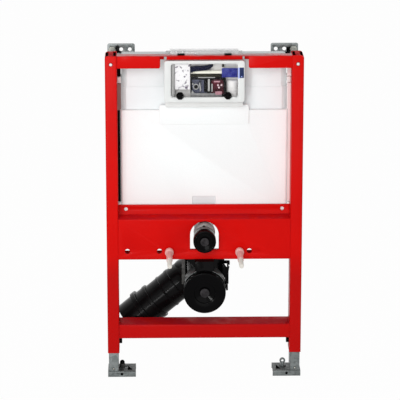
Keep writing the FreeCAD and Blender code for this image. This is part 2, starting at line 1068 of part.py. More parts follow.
# Flush pipe
def flush_pipe():
    points = [
        Vec(0, flush_depth, tank_bottom),
        Vec(0, flush_depth, flush_height),
        Vec(0, -flush_stub, flush_height),
    ]
    path = bent_path(points, flush_bend)
    collar = bar(
        Vec(0, flush_depth, jacket_bottom - flush_collar_length),
        Vec(0, 0, 1),
        flush_collar_radius,
        flush_collar_length,
    )
    band_end = flush_band_front + flush_band_length
    band = along_y(0, flush_height, flush_band_radius, flush_band_front, band_end)
    pipe = joined(swept(path, flush_radius), collar, band)
    return pipe.cut(swept(path, flush_radius - flush_wall))


def flush_cap():
    front = -flush_stub - flush_cap_face
    back = front + flush_cap_length
    bore = flush_radius + waste_play
    outer = flush_cap_radius
    boss_front = front + flush_boss_drop
    dish = front + flush_cap_dish
    rim_inner = outer - flush_cap_rim
    dimple = boss_front + flush_dimple_depth
    outline = [
        (0, dimple),
        (flush_dimple_radius, dimple),
        (flush_dimple_radius + flush_dimple_depth, boss_front),
        (flush_boss_radius, boss_front),
        (flush_boss_radius + flush_boss_drop, dish),
        (rim_inner - flush_cap_dish, dish),
        (rim_inner, front),
        (outer - flush_cap_bevel, front),
        (outer, front + flush_cap_bevel),
        (outer, back),
        (bore, back),
        (bore, -flush_stub),
        (0, -flush_stub),
    ]
    return turned(0, flush_height, outline)


# Waste
def waste_route(length):
    return [
        Vec(0, -waste_stub, waste_height),
        Vec(0, waste_turn_depth, waste_height),
        waste_elbow,
        waste_elbow + waste_aim * length,
    ]


def waste_run(radius, start, end):
    return bar(waste_elbow + waste_aim * start, waste_aim, radius, end - start)


def latch():
    strap_in = holder_radius + latch_gap
    strap_out = strap_in + latch_width
    top = fixing_bottom - latch_top_drop
    bottom = top - latch_length
    strap = box(strap_in, strap_out, holder_front, holder_ring_back, bottom, top)
    high_bridge = box(
        holder_half_width,
        strap_in,
        holder_web_front,
        holder_ring_back,
        top - latch_bridge,
        top,
    )
    low_bridge = box(
        holder_half_width,
        strap_in,
        holder_front,
        holder_ring_back,
        bottom,
        bottom + latch_bridge,
    )
    reach = along_y(0, waste_height, waste_radius + waste_play, holder_front, holder_ring_back)
    hook = box(
        strap_out,
        strap_out + latch_hook,
        holder_front,
        holder_ring_back,
        top - latch_hook_height,
        top,
    )
    return [strap, high_bridge, low_bridge.cut(reach), hook]


def rim_eased(ring):
    return ring.makeFillet(socket_edge, ring.Edges)


def waste_bend():
    path = bent_path(waste_route(waste_bend_run), waste_bend_radius)
    beyond = waste_run(waste_radius, waste_bend_run, waste_bend_run + elbow_radius)
    ball = Part.makeSphere(elbow_radius, waste_elbow).cut(beyond)
    return joined(swept(path, waste_radius), ball).cut(swept(path, waste_radius - waste_wall))


def waste_pipe():
    pipe = waste_run(waste_radius, waste_bend_run, waste_pipe_end)
    band = waste_run(waste_band_radius, waste_bend_run, waste_bend_run + waste_band_length)
    return joined(pipe, band).cut(waste_run(waste_radius - waste_wall, waste_bend_run, waste_pipe_end))


def waste_socket():
    first_end = socket_start + first_ring_length
    second_start = first_end + ring_gap
    second_end = second_start + second_ring_length
    stop_end = waste_pipe_end + socket_stop
    first_ring = waste_run(first_ring_radius, socket_start, first_end)
    between = waste_run(ring_gap_radius, first_end, second_start)
    second_ring = waste_run(second_ring_radius, second_start, second_end)
    bell = waste_run(socket_radius, second_end, socket_end)
    body = joined(rim_eased(first_ring), between, rim_eased(second_ring), bell)
    bore = waste_run(waste_radius + waste_play, socket_start, waste_pipe_end)
    throat = waste_run(waste_radius - waste_wall, waste_pipe_end, stop_end)
    mouth = waste_run(waste_radius + socket_play, stop_end, socket_end)
    return body.cut(bore).cut(throat).cut(mouth)


def waste_cap():
    front = -waste_stub - waste_cap_face
    flange_back = front + waste_cap_flange
    back = front + waste_cap_length
    bore = waste_radius + waste_play
    sleeve = bore + waste_wall
    outer = waste_cap_radius
    dish = front + waste_cap_dish
    rim_inner = outer - waste_cap_bevel - waste_cap_rim
    dimple = front + cap_dimple_depth
    outline = [
        (0, dimple),
        (cap_dimple_radius, dimple),
        (cap_dimple_radius + cap_dimple_depth, front),
        (cap_boss_radius, front),
        (cap_boss_radius + cap_dimple_depth, dish),
        (rim_inner - waste_cap_dish, dish),
        (rim_inner, front),
        (outer - waste_cap_bevel, front),
        (outer, front + waste_cap_bevel),
        (outer, flange_back),
        (sleeve, flange_back),
        (sleeve, back),
        (bore, back),
        (bore, -waste_stub),
        (0, -waste_stub),
    ]
    return turned(0, waste_height, outline)


def waste_holder():
    ring = along_y(0, waste_height, holder_radius, holder_front, holder_ring_back)
    webs = box(
        -holder_half_width,
        holder_half_width,
        holder_web_front,
        holder_back,
        waste_height,
        fixing_bottom,
    )
    tab = box(
        -holder_tab_half_width,
        holder_tab_half_width,
        holder_tab_front,
        holder_back,
        waste_height,
        fixing_bottom,
    )
    collar = along_y(0, waste_height, collar_radius, collar_start, holder_front)
    collar_hole = along_y(0, waste_height, collar_bore, collar_start, holder_front)
    bore = along_y(0, waste_height, waste_radius + waste_play, holder_front, holder_back)
    holder = joined(ring, webs, tab, collar).cut(bore).cut(collar_hole)
    return joined(holder, *latch())


os.makedirs("parts", exist_ok=True)

save_pair("post", post())
save_pair("post_cap", post_cap())
save_pair("leg", leg())
save_pair("leg_clamp", leg_clamp())
save("left_floor_bolt", floor_bolt(-1))
save("right_floor_ring", floor_ring(1))
save("top_rail", top_rail())
save("fixing_rail", fixing_rail())
save("bottom_rail", bottom_rail())
save_pair("fixing_rod", fixing_rod())
save_pair("rod_sleeve", rod_sleeve())
save_pair("wall_bracket", wall_bracket())
save_pair("bracket_rod", bracket_rod())
save("cistern_tank", tank())
save("cistern_jacket", jacket())
save("cistern_clips", cistern_clips())
save_pair("tank_seal", tank_seal())
save("access_shaft", access_shaft())
save("front_cover", front_cover())
save("cover_knobs", cover_knobs())
save("top_cover", top_cover())
save("top_cover_clips", top_cover_clips())
save("flush_housing", flush_housing())
save("grey_lifter", lifter(0))
save("red_lifter", lifter(1))
save("fill_valve", fill_valve())
save("supply_tube", supply_tube())
save("valve_block", valve_block())
save("service_tag", service_tag())
save("service_card", service_card())
save("flush_pipe", flush_pipe())
save("flush_cap", flush_cap())
save("waste_bend", waste_bend())
save("waste_pipe", waste_pipe())
save("waste_socket", waste_socket())
save("waste_cap", waste_cap())
save("waste_holder", waste_holder())
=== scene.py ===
import json
import math

import bmesh
import bpy
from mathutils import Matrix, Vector

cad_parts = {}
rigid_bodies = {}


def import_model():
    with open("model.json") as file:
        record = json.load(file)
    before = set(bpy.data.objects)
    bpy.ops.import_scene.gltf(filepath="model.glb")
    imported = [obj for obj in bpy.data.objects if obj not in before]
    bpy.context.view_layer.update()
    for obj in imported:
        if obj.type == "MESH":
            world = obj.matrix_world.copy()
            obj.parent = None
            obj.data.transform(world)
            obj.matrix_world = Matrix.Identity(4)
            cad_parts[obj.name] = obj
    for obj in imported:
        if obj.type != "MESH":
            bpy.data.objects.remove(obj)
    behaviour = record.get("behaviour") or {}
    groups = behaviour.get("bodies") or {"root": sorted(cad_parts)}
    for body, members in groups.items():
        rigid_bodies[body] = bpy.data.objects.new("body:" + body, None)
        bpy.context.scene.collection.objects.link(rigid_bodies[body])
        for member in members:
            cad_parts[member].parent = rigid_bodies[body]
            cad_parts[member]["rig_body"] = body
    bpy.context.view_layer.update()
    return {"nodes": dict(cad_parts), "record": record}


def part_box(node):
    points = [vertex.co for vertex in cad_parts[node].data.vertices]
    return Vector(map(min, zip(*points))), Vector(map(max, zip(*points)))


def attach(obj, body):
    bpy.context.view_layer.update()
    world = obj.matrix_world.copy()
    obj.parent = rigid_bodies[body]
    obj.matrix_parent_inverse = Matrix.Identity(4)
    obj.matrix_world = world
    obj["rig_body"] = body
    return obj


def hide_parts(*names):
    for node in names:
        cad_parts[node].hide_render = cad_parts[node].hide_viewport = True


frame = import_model()
nodes = frame["nodes"]
mountOf = {mount["name"]: mount for mount in frame["record"]["mounts"]}
scene = bpy.context.scene
looks = bpy.data.materials
scene.view_settings.view_transform = "Standard"
print("frame loaded:", len(nodes), "nodes")

sides = {"left": -1, "right": 1}
postLow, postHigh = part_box("right_post")
frontY = postLow.y  # front face of the posts
postMidX = (postLow.x + postHigh.x) / 2
mm = 0.001
toRoom = (0, -1, 0)
toWall = (0, 1, 0)
upright = (0, 0, 1)


# sizes and mesh helpers

def inMetres(value):
    # millimetres to metres, for a number or for all in a dictionary or list
    if isinstance(value, dict):
        return {label: inMetres(item) for label, item in value.items()}
    if isinstance(value, (list, tuple)):
        return [inMetres(item) for item in value]
    return value * mm


def easeEdges(bm, edges, radius, clamp=False):
    shape = {"segments": 2, "profile": 0.5, "affect": "EDGES", "clamp_overlap": clamp}
    bmesh.ops.bevel(bm, geom=edges, offset=radius, **shape)


def slab(bm, low, high, radius=0.0):
    made = bmesh.ops.create_cube(bm, size=1)["verts"]
    for vert in made:
        vert.co = Vector([low[i] + (vert.co[i] + 0.5) * (high[i] - low[i]) for i in range(3)])
    if radius > 0:
        easeEdges(bm, list({edge for vert in made for edge in vert.link_edges}), radius)


def blocks(bm, plane, rows):
    # each row has spans in x, y and z and an edge radius in millimetres, with y counted from the plane
    for spanX, spanY, spanZ, radius in rows.values():
        low, high = ((x * mm, plane + y * mm, z * mm) for x, y, z in zip(spanX, spanY, spanZ))
        slab(bm, low, high, radius * mm)


def skin(bm, rings, closed=False):
    # faces from ring to ring, where a ring of one point is a tip
    pairs = list(zip(rings, rings[1:]))
    if closed:
        pairs.append((rings[-1], rings[0]))
    for lower, upper in pairs:
        steps = max(len(lower), len(upper))
        for step in range(steps):
            after = (step + 1) % steps
            corners = [lower[step % len(lower)], lower[after % len(lower)]]
            corners += [upper[after % len(upper)], upper[step % len(upper)]]
            bm.faces.new(list(dict.fromkeys(corners)))


def bar(bm, rings):
    # a skin with both ends filled in
    skin(bm, rings)
    return [bm.faces.new(rings[0][::-1]), bm.faces.new(rings[-1])]


def spoke(angle, radius, height=0.0):
    return Vector((radius * math.cos(angle), radius * math.sin(angle), height))


def prism(bm, outline, y0, y1, radius=0.0):
    # an outline in x and z, given a thickness in y
    ends = bar(bm, [[bm.verts.new((x, y, z)) for x, z in outline] for y in (y1, y0)])
    if radius > 0:
        easeEdges(bm, [edge for end in ends for edge in end.edges], radius)


def plates(bm, plane, rows):
    # each row has an outline in x and z, a span in y from the plane and an edge radius, in millimetres
    for outline, (y0, y1), radius in rows.values():
        prism(bm, inMetres(outline), plane + y0 * mm, plane + y1 * mm, radius * mm)


def lathe(bm, profile, centre, axis, steps=40, closed=False, turnBy=0.0):
    turn = Vector(upright).rotation_difference(Vector(axis)).to_matrix()
    around = [2 * math.pi * step / steps + turnBy for step in range(steps)]
    rings = []
    for radius, height in profile:
        angles = around if radius > 0 else [0]
        rings.append([bm.verts.new(Vector(centre) + turn @ spoke(a, radius, height)) for a in angles])
    skin(bm, rings, closed)


def rodProfile(radius, length):
    return [(0, 0), (radius, 0), (radius, length), (0, length)]


def quarterTurn(steps):
    return [math.pi / 2 * i / steps for i in range(steps + 1)]


def ringCuts(base, level, starts, cut):
    # rings of another radius in a turned profile, with three steps along each
    points = []
    for at in starts:
        points += [(base, at), (level, at + cut[0]), (level, at + cut[1]), (base, at + cut[2])]
    return points


domeAngles = (0.5, 0.9, 1.25, math.pi / 2)


def domeProfile(radius, rise, sunk):
    # a low round head, its underside sunk below the face it sits on
    dome = [(radius * math.sin(a), rise * math.cos(a)) for a in domeAngles]
    return [(0, rise)] + dome + [(radius, -sunk), (0, -sunk)]


def torus(bm, centre, axis, radius, thick, steps=48):
    sectionSteps = 10
    around = [2 * math.pi * i / sectionSteps for i in range(sectionSteps)]
    profile = [(radius + thick * math.cos(a), thick * math.sin(a)) for a in around]
    lathe(bm, profile, centre, axis, steps, closed=True)


def hexPrism(bm, centre, axis, flats, height, chamfer, turnBy=0.0):
    inner = flats / 2
    outer = flats / math.sqrt(3)
    profile = [(0, 0), (inner, 0), (outer, chamfer), (outer, height - chamfer), (inner, height), (0, height)]
    lathe(bm, profile, centre, axis, steps=6, turnBy=turnBy)


def tube(bm, points, radii, sidesRound):
    # a round bar along a line of points, with its own radius at each
    rings = []
    for i, point in enumerate(points):
        ahead = points[min(i + 1, len(points) - 1)] - points[max(i - 1, 0)]
        turn = ahead.to_track_quat("Z", "X").to_matrix()
        around = [2 * math.pi * step / sidesRound for step in range(sidesRound)]
        rings.append([bm.verts.new(point + turn @ spoke(a, radii[i])) for a in around])
    bar(bm, rings)


threadForm = {"depth": 0.55, "crest": (0.45, 0.55), "foot": (0.02, 0.98)}  # shares of the pitch
ridgeSink = 0.98  # share of the core's radius


def thread(bm, start, axis, radius, pitch, length, perTurn=16):
    # a core with one helical ridge of triangular section wound round it
    turn = Vector(upright).rotation_difference(Vector(axis)).to_matrix()
    root = radius - pitch * threadForm["depth"]
    lathe(bm, rodProfile(root, length), start, axis, steps=20)
    foot = root * ridgeSink
    section = [(foot, threadForm["foot"][0]), (radius, threadForm["crest"][0])]
    section += [(radius, threadForm["crest"][1]), (foot, threadForm["foot"][1])]
    rings = []
    for step in range(int((length - pitch) / pitch * perTurn) + 1):
        angle = 2 * math.pi * step / perTurn
        points = [spoke(angle, out, pitch * (step / perTurn + rise)) for out, rise in section]
        rings.append([bm.verts.new(Vector(start) + turn @ point) for point in points])
    bar(bm, rings)


def addPiece(name, bm, material, body="frame", smooth=35):
    bmesh.ops.recalc_face_normals(bm, faces=bm.faces)
    mesh = bpy.data.meshes.new(name)
    bm.to_mesh(mesh)
    bm.free()
    piece = bpy.data.objects.new(name, mesh)
    scene.collection.objects.link(piece)
    mesh.materials.append(looks[material])
    mesh.shade_smooth()
    mesh.set_sharp_from_angle(angle=math.radians(smooth))
    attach(piece, body)
    return piece


def addTurned(name, material, profile, centre, axis, steps, body="frame", closed=False):
    bm = bmesh.new()
    lathe(bm, profile, centre, axis, steps, closed)
    return addPiece(name, bm, material, body)


def addRows(name, plane, rows, material, shape=blocks):
    bm = bmesh.new()
    shape(bm, plane, rows)
    return addPiece(name, bm, material)


easeForm = {"weld": 1e-6, "flat": math.radians(0.5), "sharp": math.radians(40)}


def easedCopy(node, width, material):
    # the node's own shape with its sharp edges rounded off by a small real radius
    source = nodes[node]
    bm = bmesh.new()
    bm.from_mesh(source.data)
    bmesh.ops.remove_doubles(bm, verts=bm.verts, dist=easeForm["weld"])
    bmesh.ops.dissolve_limit(bm, angle_limit=easeForm["flat"], verts=bm.verts, edges=bm.edges)
    folds = [edge for edge in bm.edges if len(edge.link_faces) == 2]
    sharp = [edge for edge in folds if edge.calc_face_angle() > easeForm["sharp"]]
    easeEdges(bm, sharp, width, clamp=True)
    piece = addPiece(node + "_eased", bm, material, source["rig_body"])
    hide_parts(node)
    return piece


def secondTone(piece, material, chosen):
    # another material on the faces that the test picks out
    piece.data.materials.append(looks[material])
    for face in piece.data.polygons:
        face.material_index = int(chosen(face.center))


def dress(node, material):
    data = nodes[node].data
    data.materials.clear()
    data.materials.append(looks[material])


# shared shader groups

effectSpans = {
    "edgeTurn": (0.98, 0.80),  # cosine between the rounded and the plain normal
    "edgePatch": (0.42, 0.62),
    "paintedTopTurn": (0.3, 1.0),  # upward part of the normal
    "paintedTopPatch": (0.35, 0.7),
    "topTurn": (0.6, 0.95),
    "cellDome": (0.0, 0.6),
}


def startGroup(name, inputs, outputs):
    tree = bpy.data.node_groups.new(name, "ShaderNodeTree")
    for label, value in inputs.items():
        socket = tree.interface.new_socket(label, in_out="INPUT", socket_type="NodeSocketFloat")
        socket.default_value = value
    for label in outputs:
        tree.interface.new_socket(label, in_out="OUTPUT", socket_type="NodeSocketFloat")
    return tree, tree.nodes.new("NodeGroupInput"), tree.nodes.new("NodeGroupOutput")


def feed(node, label, value):
    node.id_data.links.new(value, node.inputs[label])


def mathNode(tree, operation, first, second, clamp=False):
    node = tree.nodes.new("ShaderNodeMath")
    node.operation = operation
    node.use_clamp = clamp
    for socket, value in zip(node.inputs, (first, second)):
        if isinstance(value, (int, float)):
            socket.default_value = value
        else:
            tree.links.new(value, socket)
    return node.outputs[0]


def remap(tree, value, source=(0.0, 1.0), target=(0.0, 1.0)):
    node = tree.nodes.new("ShaderNodeMapRange")
    for label, number in zip(("From Min", "From Max", "To Min", "To Max"), (*source, *target)):
        node.inputs[label].default_value = number
    feed(node, "Value", value)
    return node.outputs["Result"]


def objectCoords(tree):
    return tree.nodes.new("ShaderNodeTexCoord").outputs["Object"]


def noiseNode(tree, scale, detail):
    node = tree.nodes.new("ShaderNodeTexNoise")
    node.inputs["Detail"].default_value = detail
    feed(node, "Vector", objectCoords(tree))
    feed(node, "Scale", scale)
    return node.outputs["Fac"]


def heightOf(tree, vector):
    parts = tree.nodes.new("ShaderNodeSeparateXYZ")
    feed(parts, 0, vector)
    return parts.outputs["Z"]


def makeGrainGroup():
    scales = {"Fine Scale": 900.0, "Broad Scale": 12.0}
    tree, given, result = startGroup("surfaceGrain", scales, ("Fine", "Broad"))
    for label, detail in (("Fine", 2.0), ("Broad", 4.0)):
        feed(result, label, noiseNode(tree, given.outputs[label + " Scale"], detail))
    return tree


def makeEdgeGroup():
    # patches where a rounded edge turns away from its face: the red paint and the zinc get painted shade
    # there, the black plastics a painted sheen, the other plastics a paler colour and the clear sheets a
    # painted reflection
    tree, given, result = startGroup("paintedEdgeTones", {"Reach": 0.002, "Break Up": 160.0, "Amount": 0.6}, ("Mask",))
    bevel = tree.nodes.new("ShaderNodeBevel")
    bevel.samples = 4
    feed(bevel, "Radius", given.outputs["Reach"])
    plain = tree.nodes.new("ShaderNodeNewGeometry")
    dot = tree.nodes.new("ShaderNodeVectorMath")
    dot.operation = "DOT_PRODUCT"
    feed(dot, 0, bevel.outputs["Normal"])
    feed(dot, 1, plain.outputs["Normal"])
    turned = remap(tree, dot.outputs["Value"], effectSpans["edgeTurn"])
    patchy = remap(tree, noiseNode(tree, given.outputs["Break Up"], 3.0), effectSpans["edgePatch"])
    paintedEdgeTone = mathNode(tree, "MULTIPLY", turned, patchy, True)
    feed(result, "Mask", mathNode(tree, "MULTIPLY", paintedEdgeTone, given.outputs["Amount"]))
    return tree


# Faces that look up, in patches: the red paint takes painted shade there and the top rail a pale painted
# reflection. Upward alone gives the zinc its painted top shade and the plastics their top gloss.
def makeUpwardGroup():
    tree, given, result = startGroup("upwardFaces", {"Amount": 0.3, "Patch Scale": 30.0}, ("Mask", "Upward"))
    rise = heightOf(tree, tree.nodes.new("ShaderNodeNewGeometry").outputs["Normal"])
    patches = remap(tree, noiseNode(tree, given.outputs["Patch Scale"], 5.0), effectSpans["paintedTopPatch"])
    hazeOrPaintedTop = mathNode(tree, "MULTIPLY", remap(tree, rise, effectSpans["paintedTopTurn"]), patches, True)
    feed(result, "Mask", mathNode(tree, "MULTIPLY", hazeOrPaintedTop, given.outputs["Amount"]))
    feed(result, "Upward", remap(tree, rise, effectSpans["topTurn"]))
    return tree


def makeCellGroup():
    tree, given, result = startGroup("cellPattern", {"Scale": 90.0}, ("Tone", "Height"))
    cells = tree.nodes.new("ShaderNodeTexVoronoi")
    feed(cells, "Vector", objectCoords(tree))
    feed(cells, "Scale", given.outputs["Scale"])
    split = tree.nodes.new("ShaderNodeSeparateColor")
    feed(split, "Color", cells.outputs["Color"])
    feed(result, "Tone", split.outputs["Red"])
    dome = remap(tree, cells.outputs["Distance"], effectSpans["cellDome"], (1.0, 0.0))
    feed(result, "Height", dome)
    return tree


# Painted shade: a mask that is full below To and empty above From, which darkens the red paint towards the
# floor.
def makeLowShadeGroup():
    tree, given, result = startGroup("paintedLowShade", {"From": 0.33, "To": 0.27}, ("Mask",))
    lowShade = tree.nodes.new("ShaderNodeMapRange")
    feed(lowShade, "Value", heightOf(tree, objectCoords(tree)))
    feed(lowShade, "From Min", given.outputs["From"])
    feed(lowShade, "From Max", given.outputs["To"])
    feed(result, "Mask", lowShade.outputs["Result"])
    return tree


grainGroup = makeGrainGroup()
edgeGroup = makeEdgeGroup()
upwardGroup = makeUpwardGroup()
cellGroup = makeCellGroup()  # zinc crystals on sheet, beads in foam
lowShadeGroup = makeLowShadeGroup()  # painted shade: the red paint is darker towards the floor
print("shader groups made")


# materials

noiseSpan = (0.3, 0.7)  # the part of the noise's range that is used
lateSpan = (0.35, 0.7)


def startMaterial(name, **fixed):
    material = looks.new(name)
    material.use_nodes = True
    tree = material.node_tree
    shader = tree.nodes["Principled BSDF"]
    for label, value in fixed.items():
        shader.inputs[label.replace("_", " ")].default_value = value
    return tree, shader


def placeGroup(tree, group, **values):
    node = tree.nodes.new("ShaderNodeGroup")
    node.node_tree = group
    for label, value in values.items():
        node.inputs[label.replace("_", " ")].default_value = value
    return node.outputs


def blendColour(tree, factor, first, second):
    node = tree.nodes.new("ShaderNodeMix")
    node.data_type = "RGBA"
    tree.links.new(factor, node.inputs[0])
    for socket, value in ((node.inputs[6], first), (node.inputs[7], second)):
        if isinstance(value, tuple):
            socket.default_value = (*value, 1.0)
        else:
            tree.links.new(value, socket)
    return node.outputs[2]


def bumpFrom(tree, shader, height, strength, distance):
    bump = tree.nodes.new("ShaderNodeBump")
    bump.inputs["Strength"].default_value = strength
    bump.inputs["Distance"].default_value = distance
    feed(bump, "Height", height)
    feed(shader, "Normal", bump.outputs["Normal"])


redPaint = {
    # painted shade: the low colour is a darker red towards the floor
    "colour": (0.66, 0.0042, 0.0026), "shade": (0.58, 0.0036, 0.0030), "low": (0.50, 0.0050, 0.0044),
    # painted shade: a dark red on the rounded edges
    "paintedEdgeTone": (0.20, 0.0050, 0.0090), "rough": (0.30, 0.44), "gloss": 0.04, "peel": (0.10, 0.0004),
    "grain": {"Fine_Scale": 520.0, "Broad_Scale": 7.0},
    "edge": {"Reach": 0.0045, "Break_Up": 14.0, "Amount": 0.75},
    "lowShade": {"From": 0.33, "To": 0.27},
    "paintedTopScale": 26.0,
}
paintedTops = {  # colour and amount of what is painted on faces that look up, and their gloss: painted shade on the red paint, a pale painted reflection on the top rail
    "redPaint": ((0.42, 0.014, 0.030), 0.6, 0.04),
    "redTopRail": ((0.48, 0.24, 0.25), 0.9, 0.6),
}


def makeRedPaint(name, paintedTopColour, paintedTopAmount, topGloss):
    paint = redPaint
    tree, shader = startMaterial(name, Metallic=0.0, Coat_Roughness=0.2, Specular_IOR_Level=0.03)
    grain = placeGroup(tree, grainGroup, **paint["grain"])
    edge = placeGroup(tree, edgeGroup, **paint["edge"])
    paintedTop = placeGroup(tree, upwardGroup, Amount=paintedTopAmount, Patch_Scale=paint["paintedTopScale"])
    # painted shade: a darker red towards the floor
    low = placeGroup(tree, lowShadeGroup, **paint["lowShade"])
    colour = blendColour(tree, remap(tree, grain["Broad"], lateSpan), paint["shade"], paint["colour"])
    colour = blendColour(tree, low["Mask"], colour, paint["low"])
    # painted shade on the rounded edges
    colour = blendColour(tree, edge["Mask"], colour, paint["paintedEdgeTone"])
    # faces that look up: painted shade on the red paint, a pale painted reflection on the top rail
    feed(shader, "Base Color", blendColour(tree, paintedTop["Mask"], colour, paintedTopColour))
    feed(shader, "Coat Weight", remap(tree, paintedTop["Upward"], target=(paint["gloss"], topGloss)))
    rough = remap(tree, grain["Broad"], noiseSpan, paint["rough"])
    feed(shader, "Roughness", mathNode(tree, "ADD", rough, paintedTop["Mask"]))
    bumpFrom(tree, shader, grain["Fine"], *paint["peel"])


zincSheet = {
    "stain": (0.085, 0.095, 0.09), "stainSpan": (0.58, 0.76), "stainAmount": 0.6, "depth": (0.5, 1.0),
    # painted shade: a dark zinc on the rounded edges
    "paintedEdgeTone": (0.05, 0.056, 0.052), "topShade": (0.045, 0.050, 0.050), "topAmount": 0.8,
    "metallic": 0.55, "rough": (0.34, 0.54), "bump": (0.15, 0.0003),
    "grain": {"Fine_Scale": 700.0, "Broad_Scale": 35.0},
    "edge": {"Reach": 0.0035, "Break_Up": 60.0, "Amount": 0.7},
}
zincTones = {  # light and dark crystals, and their scale
    "zincSheet": ((0.32, 0.345, 0.345), (0.16, 0.178, 0.176), 150.0),
    # painted shade: a darker zinc for the right leg and its floor ring
    "zincDull": ((0.235, 0.258, 0.256), (0.12, 0.134, 0.132), 150.0),
    # painted shade: a darker zinc still for the lips of the feet
    "zincFoot": ((0.185, 0.202, 0.202), (0.092, 0.103, 0.102), 150.0),
    "zincPlated": ((0.58, 0.58, 0.53), (0.34, 0.35, 0.31), 420.0),
}


def makeZincSheet(name, light, dark, scale):
    sheet = zincSheet
    tree, shader = startMaterial(name, Metallic=sheet["metallic"])
    cells = placeGroup(tree, cellGroup, Scale=scale)
    grain = placeGroup(tree, grainGroup, **sheet["grain"])
    edge = placeGroup(tree, edgeGroup, **sheet["edge"])
    upward = placeGroup(tree, upwardGroup)["Upward"]
    depth = remap(tree, grain["Broad"], noiseSpan, sheet["depth"])
    tone = mathNode(tree, "MULTIPLY", cells["Tone"], depth, True)
    stains = remap(tree, grain["Broad"], sheet["stainSpan"], (0.0, sheet["stainAmount"]))
    colour = blendColour(tree, stains, blendColour(tree, tone, dark, light), sheet["stain"])
    # painted shade on the rounded edges
    colour = blendColour(tree, edge["Mask"], colour, sheet["paintedEdgeTone"])
    shaded = remap(tree, upward, target=(0.0, sheet["topAmount"]))
    feed(shader, "Base Color", blendColour(tree, shaded, colour, sheet["topShade"]))
    feed(shader, "Roughness", remap(tree, cells["Tone"], target=sheet["rough"]))
    bumpFrom(tree, shader, grain["Fine"], *sheet["bump"])


plasticSkin = {
    "grainScale": 1200.0, "bump": (0.08, 0.0003), "edge": {"Reach": 0.0010, "Amount": 0.25},
    "paleTimes": 1.4, "palePlus": 0.02,
}
plastics = {  # colour, shade of its patches, roughness, specular level, patch scale, colour of the painted sheen on rounded edges, top gloss
    "blackPlastic": ((0.0018, 0.0017, 0.002), (0.0011, 0.001, 0.0012), (0.1, 0.18), 0.04,
                     16.0, (0.03, 0.03, 0.032)),
    "glossBlack": ((0.005, 0.0047, 0.005), (0.0026, 0.0025, 0.0027), (0.16, 0.28), 0.05,
                   30.0, (0.04, 0.04, 0.042), 1.0),
    "deadBlack": ((0.004, 0.004, 0.004), (0.0025, 0.0025, 0.0025), (0.5, 0.6), 0.0,
                  16.0, (0.01, 0.01, 0.01)),
    "bossGrey": ((0.044, 0.041, 0.044), (0.012, 0.011, 0.012), (0.35, 0.5), 0.05, 110.0),
    # painted shade in black and brown and a pale pink painted reflection, for the tank seals; the black also
    # in the feet and round the rivets
    "blackRubber": ((0.006, 0.006, 0.006), (0.004, 0.004, 0.004), (0.6, 0.8), 0.03),
    "dullRubber": ((0.38, 0.23, 0.21), (0.3, 0.18, 0.165), (0.6, 0.8), 0.1),
    "paleRubber": ((0.88, 0.78, 0.77), (0.82, 0.7, 0.69), (0.5, 0.7), 0.2),
    "strapGrey": ((0.1, 0.098, 0.094), (0.01, 0.01, 0.01), (0.35, 0.5), 0.1, 90.0),
    "tankPlastic": ((0.855, 0.9, 0.91), (0.81, 0.855, 0.865), (0.38, 0.5)),
    "shaftPlastic": ((0.77, 0.785, 0.775), (0.71, 0.725, 0.715), (0.35, 0.5)),
    "whitePlastic": ((0.88, 0.865, 0.855), (0.78, 0.765, 0.75)),
    "sleevePlastic": ((0.93, 0.58, 0.55), (0.88, 0.5, 0.46)),
    "platedRod": ((0.76, 0.73, 0.67), (0.6, 0.575, 0.53), (0.25, 0.4)),
    "greyPlastic": ((0.3, 0.31, 0.3), (0.2, 0.205, 0.2), (0.25, 0.4)),
    # painted highlight: a paler grey for the flush elbow
    "elbowGrey": ((0.46, 0.46, 0.44), (0.3, 0.3, 0.29), (0.2, 0.35), 0.3, 60.0, None, 1.0),
    "paleGrey": ((0.46, 0.46, 0.455), (0.36, 0.36, 0.355)),
    "sillGrey": ((0.29, 0.29, 0.285), (0.17, 0.17, 0.175), (0.3, 0.45), 0.3, 90.0),
    "slatePlastic": ((0.12, 0.13, 0.2), (0.008, 0.009, 0.018), (0.3, 0.45), 0.15, 75.0),
    "crimsonPlastic": ((0.1, 0.004, 0.016), (0.014, 0.001, 0.003), (0.3, 0.45), 0.1, 70.0),
    "navyPlastic": ((0.004, 0.006, 0.034), (0.002, 0.003, 0.016), (0.35, 0.5), 0.03),
    "inkPlastic": ((0.026, 0.042, 0.15), (0.014, 0.024, 0.08), (0.35, 0.5), 0.1, 60.0),
    "bluePlastic": ((0.055, 0.068, 0.32), (0.005, 0.004, 0.16), (0.3, 0.45), 0.08, 95.0),
    "paleBlue": ((0.4, 0.48, 0.92), (0.34, 0.42, 0.86), (0.3, 0.45), 0.2),
    "creamPlastic": ((0.93, 0.925, 0.81), (0.87, 0.865, 0.74), (0.35, 0.5), 0.3, 40.0),
    "olivePlastic": ((0.03, 0.028, 0.016), (0.012, 0.011, 0.007), (0.4, 0.5), 0.06, 50),
    "pinkPlastic": ((0.66, 0.36, 0.42), (0.34, 0.13, 0.17), (0.3, 0.45), 0.3, 70.0),
    # painted shade for the recess in the jacket's notch
    "notchFoam": ((0.76, 0.79, 0.8), (0.7, 0.73, 0.74), (0.7, 0.85)),
    "pinWhite": ((0.92, 0.74, 0.77), (0.86, 0.64, 0.68)),
}


